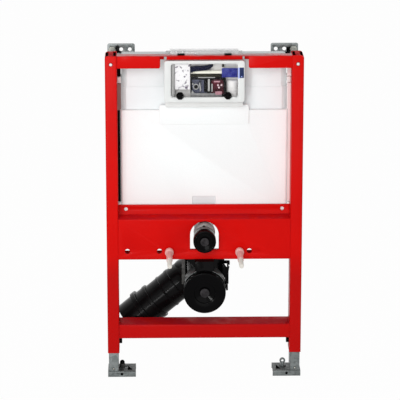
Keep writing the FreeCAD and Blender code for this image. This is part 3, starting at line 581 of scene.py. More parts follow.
def makePlastic(name, colour, shade, rough=(0.3, 0.45), specular=0.3, patchScale=16.0, rub=None, topGloss=0):
    tree, shader = startMaterial(name, Metallic=0.0, Specular_IOR_Level=specular)
    grain = placeGroup(tree, grainGroup, Fine_Scale=plasticSkin["grainScale"], Broad_Scale=patchScale)
    edge = placeGroup(tree, edgeGroup, **plasticSkin["edge"])
    mixed = blendColour(tree, remap(tree, grain["Broad"], noiseSpan), shade, colour)
    # rounded edges take a paler colour; the one given for the blacks is a painted sheen
    paler = tuple(min(1.0, c * plasticSkin["paleTimes"] + plasticSkin["palePlus"]) for c in colour)
    feed(shader, "Base Color", blendColour(tree, edge["Mask"], mixed, rub or paler))
    if topGloss > 0:
        upward = placeGroup(tree, upwardGroup)["Upward"]
        feed(shader, "Coat Weight", mathNode(tree, "MULTIPLY", upward, topGloss))
    feed(shader, "Roughness", remap(tree, grain["Broad"], noiseSpan, rough))
    bumpFrom(tree, shader, grain["Fine"], *plasticSkin["bump"])


foamJacket = {
    "colour": (0.955, 0.985, 0.985), "gap": (0.925, 0.958, 0.958), "soft": (0.935, 0.968, 0.968),
    "softAmount": 0.3, "softScale": 9.0, "beadScale": 320.0, "bump": (0.2, 0.0005),
}


def makeFoam(name):
    tree, shader = startMaterial(name, Metallic=0.0, Roughness=0.85, Specular_IOR_Level=0.2)
    beads = placeGroup(tree, cellGroup, Scale=foamJacket["beadScale"])
    grain = placeGroup(tree, grainGroup, Broad_Scale=foamJacket["softScale"])
    colour = blendColour(tree, beads["Height"], foamJacket["gap"], foamJacket["colour"])
    soft = remap(tree, grain["Broad"], lateSpan, (0.0, foamJacket["softAmount"]))
    feed(shader, "Base Color", blendColour(tree, soft, colour, foamJacket["soft"]))
    bumpFrom(tree, shader, beads["Height"], *foamJacket["bump"])


clearSheet = {
    "tint": (0.94, 0.96, 0.97, 1.0), "hazeSpan": (0.35, 0.75), "rough": (0.05, 0.14), "waveScale": 14.0,
    "wave": (0.05, 0.0005), "edge": {"Reach": 0.0012, "Break_Up": 20.0},
}
clearHaze = {"clearCover": ((0.004, 0.015), 0.30), "clearLid": ((0.22, 0.34), 0.5)}  # haze, amount of painted reflection on the rounded edges


def makeClear(name, haze, edgeAmount):
    # thin clear moulding: mostly see-through, with the gloss of its skin; its rounded edges are made less
    # clear, a painted reflection
    sheet = clearSheet
    tree, shader = startMaterial(name, Metallic=0.0, IOR=1.49, Base_Color=sheet["tint"])
    grain = placeGroup(tree, grainGroup, Broad_Scale=sheet["waveScale"])
    edge = placeGroup(tree, edgeGroup, Amount=edgeAmount, **sheet["edge"])
    feed(shader, "Roughness", remap(tree, grain["Broad"], noiseSpan, sheet["rough"]))
    hazeOrPaintedTop = remap(tree, grain["Broad"], sheet["hazeSpan"], haze)
    feed(shader, "Alpha", mathNode(tree, "ADD", hazeOrPaintedTop, edge["Mask"], True))
    bumpFrom(tree, shader, grain["Broad"], *sheet["wave"])


serviceCard = {
    "paper": (0.92, 0.91, 0.92), "mark": (0.15, 0.13, 0.18), "markSpan": (0.545, 0.645),
    "grain": {"Fine_Scale": 2500.0, "Broad_Scale": 118.0}, "fibre": (0.06, 0.0002),
}


def makeCard(name):
    # pale card with soft grey blots and no lettering
    card = serviceCard
    tree, shader = startMaterial(name, Metallic=0.0, Roughness=0.85, Specular_IOR_Level=0.1)
    grain = placeGroup(tree, grainGroup, **card["grain"])
    blots = remap(tree, grain["Broad"], card["markSpan"])
    feed(shader, "Base Color", blendColour(tree, blots, card["paper"], card["mark"]))
    bumpFrom(tree, shader, grain["Fine"], *card["fibre"])


makeFoam("foamWhite")
makeCard("cardPaper")
for make, rows in ((makeRedPaint, paintedTops), (makeZincSheet, zincTones), (makePlastic, plastics),
                   (makeClear, clearHaze)):
    for name, values in rows.items():
        make(name, *values)
print("materials ready:", len(looks))


# the frame's own pieces with eased edges

easedPieces = {
    # the top rail's red has a pale painted reflection on faces that look up
    "left_post": (0.0006, "redPaint"), "right_post": (0.0006, "redPaint"), "top_rail": (0.0005, "redTopRail"),
    "fixing_rail": (0.0005, "redPaint"), "bottom_rail": (0.0006, "redPaint"),
    # painted shade: the right leg and its floor ring take a darker zinc
    "left_leg": (0.0005, "zincSheet"), "right_leg": (0.0005, "zincDull"),
    "left_wall_bracket": (0.0006, "zincSheet"), "right_wall_bracket": (0.0006, "zincSheet"),
    "right_floor_ring": (0.0008, "zincDull"),
    "left_post_cap": (0.0005, "deadBlack"), "right_post_cap": (0.0005, "deadBlack"),
    "left_leg_clamp": (0.0008, "blackPlastic"), "right_leg_clamp": (0.0008, "blackPlastic"),
    "top_cover_clips": (0.0008, "blackPlastic"),
    "cistern_tank": (0.0030, "tankPlastic"), "cistern_jacket": (0.0030, "foamWhite"),
    "cistern_clips": (0.0012, "whitePlastic"),
    "access_shaft": (0.0010, "shaftPlastic"), "flush_housing": (0.0010, "blackPlastic"),
    "grey_lifter": (0.0015, "slatePlastic"), "red_lifter": (0.0015, "crimsonPlastic"),
    "waste_holder": (0.0012, "blackPlastic"), "service_tag": (0.0004, "bluePlastic"),
    "service_card": (0.0003, "cardPaper"),
    "front_cover": (0.0006, "clearCover"), "top_cover": (0.0005, "clearLid"),
}
# Painted shade: below this height the legs take a darker zinc.
footLip = 14.5 * mm  # the lips of the folded feet end here
for node, (width, material) in easedPieces.items():
    piece = easedCopy(node, width, material)
    if node.endswith("_leg"):
        secondTone(piece, "zincFoot", lambda spot: spot.z < footLip)

plainPieces = {
    "left_rod_sleeve": "sleevePlastic", "right_rod_sleeve": "sleevePlastic", "flush_pipe": "greyPlastic",
    "waste_bend": "glossBlack", "waste_pipe": "glossBlack", "waste_socket": "glossBlack",
    "supply_tube": "creamPlastic",
}
for node, material in plainPieces.items():
    dress(node, material)

# tank seals change colour at the jacket's top and above the clip: black and brown painted shade on the left,
# a pale pink painted reflection on the right
jacketTop = 699 * mm
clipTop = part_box("cistern_clips")[1].z
sealBands = {"left": ("blackRubber", "dullRubber", "blackRubber"), "right": ("paleRubber",) * 3}
sealFin = inMetres({"depth": 60, "thick": 4, "lap": 1})


def addSeals():
    for name, bands in sealBands.items():
        node = name + "_tank_seal"
        bm = bmesh.new()
        bm.from_mesh(nodes[node].data)
        for height in (jacketTop, clipTop):
            everything = list(bm.verts) + list(bm.edges) + list(bm.faces)
            bmesh.ops.bisect_plane(bm, geom=everything, plane_co=(0, 0, height), plane_no=upright)
        for face in bm.faces:
            middle = face.calc_center_median().z
            face.material_index = int(middle > jacketTop) + int(middle > clipTop)
        piece = addPiece(name + "_seal_strip", bm, bands[0])
        for material in bands[1:]:
            piece.data.materials.append(looks[material])
        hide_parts(node)
        addSealFin(name, bands)


def addSealFin(name, bands):
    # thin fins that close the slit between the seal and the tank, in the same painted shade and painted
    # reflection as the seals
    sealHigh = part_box("right_tank_seal")[1]
    edges = (sealHigh.x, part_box("cistern_tank")[1].x)
    x0, x1 = sorted(sides[name] * (edge - sealFin["lap"]) for edge in edges)
    y = frontY + sealFin["depth"]
    fins = {"lower": (jacketTop, clipTop, bands[1]), "upper": (clipTop, sealHigh.z, bands[2])}
    for label, (z0, z1, material) in fins.items():
        bm = bmesh.new()
        slab(bm, (x0, y, z0), (x1, y + sealFin["thick"], z1))
        addPiece(name + "_seal_fin_" + label, bm, material)


addSeals()
print("frame dressed")


# screws, rivets and threaded rods

cornerScrews = inMetres({"drop": 22, "head": 3.9, "rise": 1.8, "sunk": 0.5, "bore": 3.51, "washerFoot": 4.9,
                         "washerTop": 4.704, "washerThick": 0.6})


# Pale heads with a dark crimson ring round each: painted highlight on the heads, painted shade round them.
def addCornerScrews(drop, head, rise, sunk, bore, washerFoot, washerTop, washerThick):
    dome = domeProfile(head, rise, sunk)
    washer = [(bore, 0.0), (washerFoot, 0.0), (washerTop, washerThick), (bore, washerThick)]
    screws = bmesh.new()
    rings = bmesh.new()
    for side in sides.values():
        place = Vector((side * postMidX, frontY, postHigh.z - drop))
        lathe(screws, dome, place + Vector(toRoom) * washerThick, toRoom, 24)
        lathe(rings, washer, place, toRoom, 28, closed=True)
    addPiece("corner_screws", screws, "whitePlastic")
    addPiece("corner_screw_shade_rings", rings, "crimsonPlastic")


# inset is the post's wall and the leg's play in it
legRivets = inMetres({"height": 21, "inset": 2.4, "head": 2.3, "rise": 1.2, "sunk": 0.4, "hole": 3.2,
                      "seat": (-0.2, 0.4)})


def addLegRivets(height, inset, head, rise, sunk, hole, seat):
    back, front = seat
    dome = domeProfile(head, rise, sunk)
    eye = [(head, back), (hole, back), (hole, front), (head, front)]
    for name, side in sides.items():
        place = Vector((side * postMidX, frontY + inset, height))
        leg = name + "_leg"
        addTurned(leg + "_rivet", "zincPlated", dome, place, toRoom, 20, leg)
        # a black ring round each rivet, painted shade in its hole
        addTurned(leg + "_rivet_shade_ring", "blackRubber", eye, place, toRoom, 24, leg, True)


bracketRods = inMetres({"radius": 5, "pitch": 1.5, "postWall": 2, "nutChamfer": 1.2, "nutFlats": 17,
                        "nutHeight": 8})


def addBracketRods(radius, pitch, postWall, nutChamfer, nutFlats, nutHeight):
    for name in sides:
        low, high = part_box(name + "_bracket_rod")
        x = (low.x + high.x) / 2
        z = (low.z + high.z) / 2
        bm = bmesh.new()
        thread(bm, (x, low.y, z), toWall, radius, pitch, high.y - low.y)
        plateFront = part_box(name + "_wall_bracket")[0].y
        for start in (postHigh.y - postWall - nutHeight, postHigh.y, plateFront - nutHeight):
            hexPrism(bm, (x, start, z), toWall, nutFlats, nutHeight, nutChamfer)
        piece = addPiece(name + "_threaded_bracket_rod", bm, "zincPlated")
        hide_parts(name + "_bracket_rod")


fixingRods = inMetres({"radius": 6, "pitch": 1.75, "tip": 50, "plate": 2.5, "nutFlats": 19, "nutHeight": 10,
                       "nutChamfer": 1.2})


def addFixingRods(radius, pitch, tip, plate, nutFlats, nutHeight, nutChamfer):
    for name in sides:
        low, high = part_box(name + "_fixing_rod")
        x = (low.x + high.x) / 2
        z = (low.z + high.z) / 2
        tipEnd = low.y + tip
        bm = bmesh.new()
        thread(bm, (x, low.y, z), toWall, radius, pitch, tip)
        lathe(bm, rodProfile(radius, frontY - tipEnd), (x, tipEnd, z), toWall, 32)
        thread(bm, (x, frontY, z), toWall, radius, pitch, high.y - frontY)
        hexPrism(bm, (x, frontY + plate, z), toWall, nutFlats, nutHeight, nutChamfer)
        piece = addPiece(name + "_threaded_fixing_rod", bm, "platedRod")
        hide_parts(name + "_fixing_rod")


bracketGuides = inMetres({"inset": 9, "width": 9, "bases": {"left": 819, "right": 814}, "tall": 18,
                          "depth": 7, "lap": 0.2, "toeLength": 5, "toeRise": (4, 5), "radius": 0.6})


def addBracketGuides(inset, width, bases, tall, depth, lap, toeLength, toeRise, radius):
    # black plastic guides that key each plate to its rod
    tip, heel = toeRise
    bm = bmesh.new()
    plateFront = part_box("left_wall_bracket")[0].y
    for name, side in sides.items():
        near = side * (postMidX - inset)
        far = near - side * width
        toe = far - side * toeLength
        base = bases[name]
        top = base + tall
        outline = [(near, base), (toe, base), (toe, base + tip), (far, base + heel), (far, top), (near, top)]
        prism(bm, outline, plateFront - depth, plateFront + lap, radius)
    addPiece("bracket_guides", bm, "blackPlastic")


footShadeSheets = inMetres({"length": 72, "margin": 1.5, "lip": 4, "bottom": 0.2, "top": 2.0, "radius": 0.4})


def addFootShadeSheets(length, margin, lip, bottom, top, radius):
    # black sheets inside the folded feet, painted shade seen through the holes in their lips
    ends = (postHigh.x - margin, postHigh.x - length + margin)
    for name, side in sides.items():
        low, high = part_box(name + "_leg")
        x0, x1 = sorted(side * end for end in ends)
        bm = bmesh.new()
        slab(bm, (x0, low.y + lip, bottom), (x1, high.y - lip, top), radius)
        addPiece(name + "_foot_shade_sheet", bm, "blackRubber", name + "_leg")


footSlotShades = inMetres({"inner": 187.5, "outer": 199.5, "apex": {"left": 199, "right": 188}, "front": -20,
                      "back": 14, "top": 15, "rise": 0.3})


def addFootSlotShades(inner, outer, apex, front, back, top, rise):
    # black wedges on the tops of the feet, painted shade where the slots are
    for name, side in sides.items():
        corners = [(inner, front), (outer, front), (apex[name], back)]
        bm = bmesh.new()
        bar(bm, [[bm.verts.new((side * x, y, z)) for x, y in corners] for z in (top - rise, top + rise)])
        addPiece(name + "_foot_slot_shade", bm, "deadBlack", name + "_leg")


addCornerScrews(**cornerScrews)
addLegRivets(**legRivets)
addBracketRods(**bracketRods)
addFixingRods(**fixingRods)
addBracketGuides(**bracketGuides)
addFootShadeSheets(**footShadeSheets)
addFootSlotShades(**footSlotShades)
print("screws and rods made")


# weld seams where the rails meet the posts

weldSeams = inMetres({"radius": 1.5, "step": 2.2, "sunk": 0.6, "endGap": 2, "upstand": 28, "sideGap": 4,
                      "ledgeDrop": 26, "ledgeEnd": 46})
weldRipple = {"depth": 0.16, "beat": 2.4, "tip": 0.6}


def weldLine(bm, start, end):
    start = Vector(start)
    end = Vector(end)
    count = max(4, int((end - start).length / weldSeams["step"]))
    points = [start.lerp(end, i / count) for i in range(count + 1)]
    radii = []
    for i in range(count + 1):
        taper = min(1.0, (min(i, count - i) + weldRipple["tip"]) / (1 + weldRipple["tip"]))
        swell = 1 + weldRipple["depth"] * math.sin(weldRipple["beat"] * i)
        radii.append(weldSeams["radius"] * taper * swell)
    tube(bm, points, radii, 8)


def addWeldSeams():
    size = weldSeams
    y = frontY + size["sunk"]
    topGaps = {"fixing_rail": size["upstand"], "bottom_rail": size["endGap"], "top_rail": size["endGap"]}
    low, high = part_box("bottom_rail")
    start = low.y + size["sideGap"]
    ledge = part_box("fixing_rail")[1].z - size["ledgeDrop"]
    bm = bmesh.new()
    for side in sides.values():
        x = side * postLow.x
        for rail, topGap in topGaps.items():
            foot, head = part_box(rail)
            weldLine(bm, (x, y, foot.z + size["endGap"]), (x, y, head.z - topGap))
        weldLine(bm, (x, start, high.z), (x, high.y - size["sideGap"], high.z))
        weldLine(bm, (x, start, ledge), (x, low.y + size["ledgeEnd"], ledge))
    addPiece("weld_seams", bm, "redPaint")


addWeldSeams()
print("weld seams made")


# caps of the flush and waste pipes, turned with their bowls and bosses

flushCap = inMetres({"boss": 11, "bowl": 4.2, "step": 1.8, "rim": 4.5, "edge": 2.5, "bore": 25.3, "floor": 14,
                     "flange": 26})
wasteCap = inMetres({"boss": 12, "bowl": 5.6, "step": 2.5, "rim": 24, "edge": 3.0, "bore": 45.3, "floor": 9,
                     "flange": 13})
bossProfile = [(0, 1.6), (0.36, 1.6), (0.46, 0.6), (0.88, 0.4), (0.97, 0.8), (1, 1.6)]  # share of boss, depth
rimFoot = [(-0.8, 1.0), (-0.3, 0.75)]  # out from the rim's inner edge, share of the step
rimLip = [(0, 0.9), (0.3, 0.35), (1.0, 0)]  # out from the rim's inner edge, depth
capForm = inMetres({"bossFoot": 1.2, "wall": 3.0, "flangeEdge": 1.0, "endEdge": 0.8})


def capProfile(radius, length, boss, bowl, step, rim, edge, bore, floor, flange):
    rimIn = radius - edge - rim
    profile = [(boss * share, depth * mm) for share, depth in bossProfile]
    profile.append((boss + capForm["bossFoot"], bowl))
    profile += [(rimIn + out * mm, share * step) for out, share in rimFoot]
    profile += [(rimIn + out * mm, depth * mm) for out, depth in rimLip]
    profile += [(radius - edge * (1 - math.sin(a)), edge * (1 - math.cos(a))) for a in quarterTurn(4)]
    if flange < length:
        eased = capForm["flangeEdge"]
        wall = bore + capForm["wall"]
        profile += [(radius, flange - eased), (radius - eased, flange), (wall, flange), (wall, length)]
    else:
        eased = capForm["endEdge"]
        profile += [(radius, length - eased), (radius - eased, length)]
    return profile + [(bore, length), (bore, floor), (0, floor)]


def addCap(node, size, pieceName):
    low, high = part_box(node)
    centre = Vector(((low.x + high.x) / 2, low.y, (low.z + high.z) / 2))
    bm = bmesh.new()
    lathe(bm, capProfile((high.x - low.x) / 2, high.y - low.y, **size), centre, toWall, 72)
    piece = addPiece(pieceName, bm, "blackPlastic", smooth=30)

    def onBoss(spot):
        away = spot - centre
        return math.hypot(away.x, away.z) < size["boss"] and away.y < size["bowl"]

    secondTone(piece, "bossGrey", onBoss)
    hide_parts(node)


addCap("flush_cap", flushCap, "flush_pipe_cap")
addCap("waste_cap", wasteCap, "waste_pipe_cap")

wasteSeams = inMetres({"pieceEnd": 169.5, "weldAt": (40, 72), "apart": 1.3, "radius": 45, "bead": 1.6})


def addWasteSeams(pieceEnd, weldAt, apart, radius, bead):
    # pairs of weld beads round the slanted pipe
    outlet = mountOf["waste_outlet"]
    aim = Vector(outlet["axis"])
    elbow = Vector(outlet["pos_m"]) - aim * pieceEnd
    bm = bmesh.new()
    for run in weldAt:
        for shift in (-apart, apart):
            torus(bm, elbow + aim * (run + shift), aim, radius, bead, 64)
    addPiece("waste_weld_beads", bm, "glossBlack")


holderBand = inMetres({"radius": 56.3, "thick": 0.8, "front": -25.5, "back": 21.5})
bandTurn = {"from": 22, "to": 62, "steps": 10}  # degrees away from upright
holderStrap = {"strap": ((-58, -49.5), (31, 32.5), (250, 316), 0.4)}


def addHolderSteel():
    # plated band that shows on both shoulders of the holder, and the strap at its left
    low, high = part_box("waste_cap")
    middle = (low.z + high.z) / 2
    step = (bandTurn["to"] - bandTurn["from"]) / bandTurn["steps"]
    arc = [math.radians(bandTurn["from"] + step * i) for i in range(bandTurn["steps"] + 1)]
    inner = holderBand["radius"]
    outer = inner + holderBand["thick"]
    bm = bmesh.new()
    for side in sides.values():
        outline = [(side * inner * math.sin(a), middle + inner * math.cos(a)) for a in arc]
        outline += [(side * outer * math.sin(a), middle + outer * math.cos(a)) for a in reversed(arc)]
        prism(bm, outline, frontY + holderBand["front"], frontY + holderBand["back"])
    addPiece("waste_holder_band", bm, "zincSheet")
    addRows("waste_holder_strap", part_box("waste_holder")[0].y, holderStrap, "strapGrey")


latchOutline = [(46, 308), (51, 308.5), (57.7, 297.3), (64.1, 303), (62.4, 291.9), (59.3, 281),
                (60.5, 238.2), (55.6, 237), (55.2, 262), (50, 276), (45, 287)]
holderLatch = {"latch": (latchOutline, (-12, -8), 0.6)}

flushElbow = inMetres({"x": 0.6, "depth": 24, "height": 383, "radius": 27.6, "bulge": 15, "neck": 12,
                       "plugAt": (-1.4, 0.6, 17)})
plugProfile = inMetres([(0, 0), (3.15, 0.4), (4.5, 2), (4.5, 8), (0, 8)])


def addFlushElbow(x, depth, height, radius, bulge, neck, plugAt):
    # the swollen elbow of the flush pipe, seen above its cap, in a paler grey than the pipe: painted
    # highlight
    profile = [(radius * math.sin(a), bulge * (1 - math.cos(a))) for a in quarterTurn(12)]
    profile += [(radius, bulge + neck), (0, bulge + neck)]
    spot = Vector((x, frontY + depth - bulge, height))
    addTurned("flush_elbow", "elbowGrey", profile, spot, toWall, 48)
    spot += Vector(plugAt)
    addTurned("flush_elbow_plug", "blackPlastic", plugProfile, spot, toWall, 24)


addWasteSeams(**wasteSeams)
addHolderSteel()
addRows("waste_holder_latch", frontY, holderLatch, "blackPlastic", plates)
addFlushElbow(**flushElbow)
print("caps and waste seams made")


# the works that show through the window

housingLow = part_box("flush_housing")[0]
housingLeft = housingLow.x / mm
shaftLow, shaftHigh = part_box("access_shaft")
backPlate = {"plate": ((-96, 96), (38, 40), (735, 829), 0)}
shaftApron = {"apron": ((-98, 98), (26, 61), (712.5, 729.8), 1)}
# a grey sheet in the jacket's notch, painted shade in the recess
notchShadePanel = {"panel": ((-29.5, 29.5), (55.4, 56.2), (433, 471.5), 0)}
floatArm = {"arm": ((87, 89.5), (24, 37), (736, 786), 0.6)}
floatCup = inMetres({"x": 71, "depth": 32, "base": 736, "radius": 14, "groove": 13.2,
                     "starts": (8, 16, 24, 32), "cut": (0.8, 2, 2.8), "rim": 12, "shoulder": 44, "top": 46})


def addFloatCup(x, depth, base, radius, groove, starts, cut, rim, shoulder, top):
    profile = [(0, 0), (radius, 0)] + ringCuts(radius, groove, starts, cut)
    profile += [(radius, shoulder), (rim, top), (0, top)]
    bm = bmesh.new()
    lathe(bm, profile, (x, frontY + depth, base), upright, 36)
    blocks(bm, frontY, floatArm)
    addPiece("float_cup", bm, "whitePlastic")


ribbedHose = inMetres({"x": -79.6, "depth": 15, "radius": 5.6, "inner": 4.816, "rib": 3.2,
                       "endGaps": (4, 12)})
ribForm = {"start": 0.2, "cut": (0.2, 0.6, 0.8)}  # shares of one rib


def addHose(x, depth, radius, inner, rib, endGaps):
    base = shaftLow.z + endGaps[0]
    count = int((shaftHigh.z - endGaps[1] - base) / rib)
    starts = [(i + ribForm["start"]) * rib for i in range(count)]
    cut = [share * rib for share in ribForm["cut"]]
    profile = [(0, 0)] + ringCuts(inner, radius, starts, cut) + [(0, count * rib)]
    addTurned("ribbed_hose", "paleGrey", profile, (x, frontY + depth, base), upright, 20)


# depths of the flush works are counted from the front of their housing
# The pale button, wedge and lever are painted highlights on the dark lifter.
leverBlocks = {
    "divider": ((9, 14), (-3, 1), (755, 786), 0.8),
    "rod": ((18, 21), (-1, 4), (753, 773), 0.5),
    "bar": ((-16, 27), (-3, 2), (788.8, 791.2), 1.0),
    "highlightSpot": ((-31, -27), (-1, 3), (771, 775), 1.2),
}
leverPlates = {
    "leverHighlight": ([(-13, 776), (-10.5, 776), (-8, 757), (-11, 753)], (-2, 4), 0.5),
    "highlightWedge": ([(-33, 747), (-23, 747), (-31, 757)], (-1, 4), 0.4),
}
flushDial = inMetres({"x": -21, "depth": 2, "z": 765.5, "radius": 6.4, "thick": 1.4})
dialHub = inMetres([(0, 4), (2.56, 4), (3.968, 3), (3.968, -3), (0, -3)])
darkBlocks = {
    "body": ((-1, 7.5), (-1, 4), (752, 784), 1.5),
    "edge": ((14.5, 17.8), (-1, 4), (752, 784), 0.8),
    "column": ((49, 55), (-3, 2), (752, 778), 1.0),
    "lintel": ((housingLeft, 42), (-2, 2), (784.4, 788), 0.8),
}
archRings = {"outer": (41, 777, 14), "inner": (40, 776, 9)}  # centre in x and z, radius
archSpan = (-3, 2)
sillBlock = {"sill": ((housingLeft, 44), (-2, 2), (736.8, 749.4), 1.0)}
# pale pink blocks on the red lifter; the lower one is a painted highlight
pinkLifterBlocks = {
    "lower": ((27, 45), (-2.4, 3), (744.5, 754), 2.0),
    "upper": ((24, 40), (-1, 3), (777, 781), 1.5),
}
pinSpots = inMetres([(34.6, 769.6), (43.4, 769.6), (37.1, 763.4)])
pinDepth = 1 * mm
pinProfile = inMetres([(0, 3), (1.8, 2.4), (2.6, 0.8), (2.6, -4), (0, -4)])


def quarterRing(x, z, radius):
    return [(x + radius * math.sin(a), z + radius * math.cos(a)) for a in quarterTurn(12)]


def addFlushWorks():
    face = housingLow.y
    dial = Vector((flushDial["x"], face + flushDial["depth"], flushDial["z"]))
    pale = bmesh.new()
    blocks(pale, face, leverBlocks)
    torus(pale, dial, toRoom, flushDial["radius"], flushDial["thick"], 32)
    plates(pale, face, leverPlates)
    addPiece("flush_levers", pale, "paleGrey")

    dark = bmesh.new()
    lathe(dark, dialHub, dial, toRoom, 32)
    blocks(dark, face, darkBlocks)
    arch = quarterRing(*archRings["outer"]) + quarterRing(*archRings["inner"])[::-1]
    plates(dark, face, {"arch": (arch, archSpan, 0.5)})
    addPiece("flush_works", dark, "blackPlastic")
    addRows("flush_sill", face, sillBlock, "sillGrey")

    pins = bmesh.new()
    for x, z in pinSpots:
        lathe(pins, pinProfile, (x, face + pinDepth, z), toRoom, 20)
    addPiece("red_lifter_pins", pins, "pinWhite")
    addRows("red_lifter_pink_blocks", face, pinkLifterBlocks, "pinkPlastic")


supplyDepth = 28 * mm
supplyHeight = 802.3 * mm
supplyRun = inMetres([(-24, 4.2), (-20, 4.7), (0, 4.7), (30, 4.7), (48, 4.7), (60, 4.7)])  # x, radius
supplyEnd = {"end": ((-35, -24), (0, 8), (797.6, 803), 1.0)}
supplyRail = {
    "rail": ((-36, 46), (-7, 12), (790.8, 796.8), 1.2),
    "clip": ((44.5, 50), (-4, 6), (815.5, 824), 1.0),
}


def addSupply():
    # cream pipe with a dark clip rail under it, in front of the plate
    y = frontY + supplyDepth
    bm = bmesh.new()
    points = [Vector((x, y, supplyHeight)) for x, radius in supplyRun]
    tube(bm, points, [radius for x, radius in supplyRun], 20)
    blocks(bm, y, supplyEnd)
    addPiece("supply_run", bm, "creamPlastic")
    addRows("supply_rail", y, supplyRail, "olivePlastic")


# navy moulding with a winged handle over the supply pipe
handleOutline = [(-37, 813.5), (-35, 816.4), (-28, 817.6), (-18, 818.8), (-1, 817.8), (5, 818.6), (11, 822),
                 (22, 823.2), (22, 818.6), (17, 814), (13, 810.2), (2, 808.6), (-16, 806.6), (-29, 806.0),
                 (-30, 802.4), (-35, 802.4), (-37, 806)]
valveHandle = {"handle": (handleOutline, (20, 30), 0.8)}

fillValve = inMetres({"stem": 16, "footRadius": 14.4, "groove": 14.88, "cut": (1, 3, 4),
                      "fromTop": (90, 80, 70, 60, 50, 40), "capTall": 14, "edge": 1, "rim": 2})


def addFillValve(stem, footRadius, groove, cut, fromTop, capTall, edge, rim):
    low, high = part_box("fill_valve")
    tall = high.z - low.z
    cap = (high.x - low.x) / 2
    capBase = tall - capTall
    profile = [(0, 0), (footRadius, 0), (stem, rim)]
    profile += ringCuts(stem, groove, [tall - drop for drop in fromTop], cut)
    profile += [(stem, capBase - edge), (cap - edge, capBase), (cap, capBase + edge), (cap, tall - rim)]
    profile += [(cap - rim, tall), (0, tall)]
    foot = ((low.x + high.x) / 2, (low.y + high.y) / 2, low.z)
    piece = addTurned("fill_valve_tower", "whitePlastic", profile, foot, upright, 40)
    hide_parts("fill_valve")


tagEnd = {"end": ((88.4, 99.2), (-0.9, 0.1), (792, 818.6), 0.3)}
tagFold = {"fold": ((84.8, 88.3), (-0.7, 0.1), (791, 818.6), 0.3)}
tagStud = inMetres({"spot": (93.4, -0.6, 795.4), "profile": [(0, 1.2), (1.4, 0.9), (1.8, 0), (0, 0)]})


def addTagEnd():
    # the end of the tag that is folded over the front of the shaft
    face = shaftLow.y
    addRows("tag_end", face, tagEnd, "inkPlastic")
    # the fold in pale blue is a painted highlight on the tag
    fold = bmesh.new()
    blocks(fold, face, tagFold)
    lathe(fold, tagStud["profile"], Vector(tagStud["spot"]) + Vector((0, face, 0)), toRoom, 16)
    addPiece("tag_fold", fold, "paleBlue")


knobSize = inMetres({"radius": 10, "lift": 2.5, "leftShift": 2.5, "barHalf": (5.2, 1.2),
                     "barDepth": (0.2, 1.8), "barRadius": 0.4})
knobProfile = inMetres([(0, 1.6), (5, 1.6), (6.2, 0.4), (8.4, 0), (10, 1.4)])
knobSides = 8


def addCoverKnobs(radius, lift, leftShift, barHalf, barDepth, barRadius):
    wide, high = barHalf
    front, back = barDepth
    boxLow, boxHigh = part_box("cover_knobs")
    length = boxHigh.y - boxLow.y
    y = boxLow.y
    z = (boxLow.z + boxHigh.z) / 2 + lift
    bm = bmesh.new()
    for x in (boxLow.x + radius - leftShift, boxHigh.x - radius):
        profile = knobProfile + [(radius, length), (0, length)]
        lathe(bm, profile, (x, y, z), toWall, knobSides, turnBy=math.pi / knobSides)
        slab(bm, (x - wide, y + front, z - high), (x + wide, y + back, z + high), barRadius)
    piece = addPiece("cover_turn_knobs", bm, "blackPlastic", smooth=25)
    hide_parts("cover_knobs")


addRows("shaft_back_plate", frontY, backPlate, "whitePlastic")
addFloatCup(**floatCup)
addRows("shaft_apron", frontY, shaftApron, "shaftPlastic")
addRows("jacket_notch_shade_panel", frontY, notchShadePanel, "notchFoam")
addHose(**ribbedHose)
addFlushWorks()
addSupply()
handle = addRows("valve_handle", frontY, valveHandle, "navyPlastic", plates)
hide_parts("valve_block")
addFillValve(**fillValve)
addTagEnd()
addCoverKnobs(**knobSize)
print("window works made")


# floor bolt with its black dome

floorBolt = inMetres({"foot": 15, "shift": 8.5, "shank": 5, "washer": 7.5, "washerEdge": 0.4,
                      "washerThick": 1.8, "nutFlats": 13, "nutHeight": 7, "nutChamfer": 1, "dome": 6.4,
                      "sink": 2.0})
nutTurn = 0.3


def addFloorBolt(foot, shift, shank, washer, washerEdge, washerThick, nutFlats, nutHeight, nutChamfer, dome,
                 sink):
    low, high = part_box("left_floor_bolt")
    x = (low.x + high.x) / 2 - shift
    y = (low.y + high.y) / 2
    nut = bmesh.new()
    profile = [(0, 0), (washer, 0), (washer, washerThick - washerEdge)]
    profile += [(washer - washerEdge, washerThick), (0, washerThick)]
    lathe(nut, profile, (x, y, foot), upright, 32)
    hexPrism(nut, (x, y, foot + washerThick), upright, nutFlats, nutHeight, nutChamfer, nutTurn)
    lathe(nut, rodProfile(shank, foot - low.z), (x, y, low.z), upright, 24)
    bolt = addPiece("left_floor_nut", nut, "strapGrey", "left_leg")
    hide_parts("left_floor_bolt")

    base = foot + washerThick + nutHeight
    tall = high.z - sink - base
    curve = [(dome * math.cos(a), tall - dome + dome * math.sin(a)) for a in quarterTurn(6)[:-1]]
    profile = [(0, 0), (dome, 0)] + curve + [(0, tall)]
    spot = (x, y, base)
    addTurned("left_floor_cap", "blackPlastic", profile, spot, upright, 28, "left_leg")


addFloorBolt(**floorBolt)
print("floor bolt made")


# stage, light and camera

studio = {"floorTone": (0.75, 0.75, 0.75, 1.0), "floorRough": 0.9, "ambient": 0.42, "glow": 0.975}
lamps = {  # place, aim, size, power
    "keyLamp": ((-0.8, -3.1, 1.7), (0, 0, 0.5), 1.6, 51.5),
    "fillLamp": ((0.5, -3.2, 0.35), (0, 0, 0.5), 1.6, 12.0),
    "glintLamp": ((-1.1, -3.5, 0.3), (0, 0, 0.3), 0.1, 14.0),
}


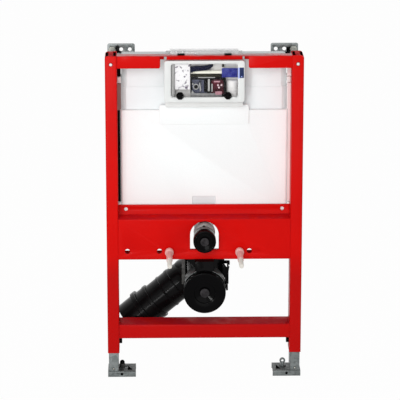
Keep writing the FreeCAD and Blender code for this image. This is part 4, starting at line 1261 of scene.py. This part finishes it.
def seenMask(tree):
    # rays that show the stage itself, straight, mirrored or through the clear covers
    rays = tree.nodes.new("ShaderNodeLightPath").outputs
    seen = mathNode(tree, "MAXIMUM", rays["Is Camera Ray"], rays["Is Glossy Ray"])
    return mathNode(tree, "MAXIMUM", seen, rays["Is Transmission Ray"])


def makeStage():
    mesh = bpy.data.meshes.new("floor")
    mesh.from_pydata([(-6, -8, 0), (6, -8, 0), (6, 8, 0), (-6, 8, 0)], [], [(0, 1, 2, 3)])
    floor = bpy.data.objects.new("floor", mesh)
    scene.collection.objects.link(floor)
    tree, shader = startMaterial("paleFloor", Base_Color=studio["floorTone"], Roughness=studio["floorRough"])
    glow = tree.nodes.new("ShaderNodeEmission")
    glow.inputs["Strength"].default_value = 1.0
    mix = tree.nodes.new("ShaderNodeMixShader")
    feed(mix, "Fac", mathNode(tree, "MULTIPLY", seenMask(tree), studio["glow"]))
    feed(mix, 1, shader.outputs[0])
    feed(mix, 2, glow.outputs[0])
    tree.links.new(mix.outputs[0], tree.nodes["Material Output"].inputs["Surface"])
    mesh.materials.append(looks["paleFloor"])


def makeWorld():
    world = bpy.data.worlds.new("softStudio")
    scene.world = world
    world.use_nodes = True
    tree = world.node_tree
    back = tree.nodes["Background"]
    back.inputs["Color"].default_value = (1.0, 1.0, 1.0, 1.0)
    strength = remap(tree, seenMask(tree), target=(studio["ambient"], 1.0))
    feed(back, "Strength", strength)


def addLamp(name, place, aim, size, power):
    lamp = bpy.data.lights.new(name, "AREA")
    lamp.size = size
    lamp.energy = power
    holder = bpy.data.objects.new(name, lamp)
    holder.location = place
    holder.rotation_euler = (Vector(aim) - Vector(place)).to_track_quat("-Z", "Y").to_euler()
    scene.collection.objects.link(holder)


cameraSetup = {"x": -0.1257, "ahead": 5.5861, "height": 2.0127, "pitch": 15.3807, "yaw": -1.1733,
               "lens": 204.84, "sensor": 36.0, "farEnd": 60.0}


def makeCamera():
    lens = bpy.data.cameras.new("camera")
    lens.sensor_width = cameraSetup["sensor"]
    lens.lens = cameraSetup["lens"]
    lens.clip_end = cameraSetup["farEnd"]
    holder = bpy.data.objects.new("camera", lens)
    holder.location = (cameraSetup["x"], frontY - cameraSetup["ahead"], cameraSetup["height"])
    holder.rotation_euler = (math.radians(90 - cameraSetup["pitch"]), 0, math.radians(cameraSetup["yaw"]))
    scene.collection.objects.link(holder)
    scene.camera = holder


makeStage()
makeWorld()
for name, setup in lamps.items():
    addLamp(name, *setup)
makeCamera()
print("stage ready")
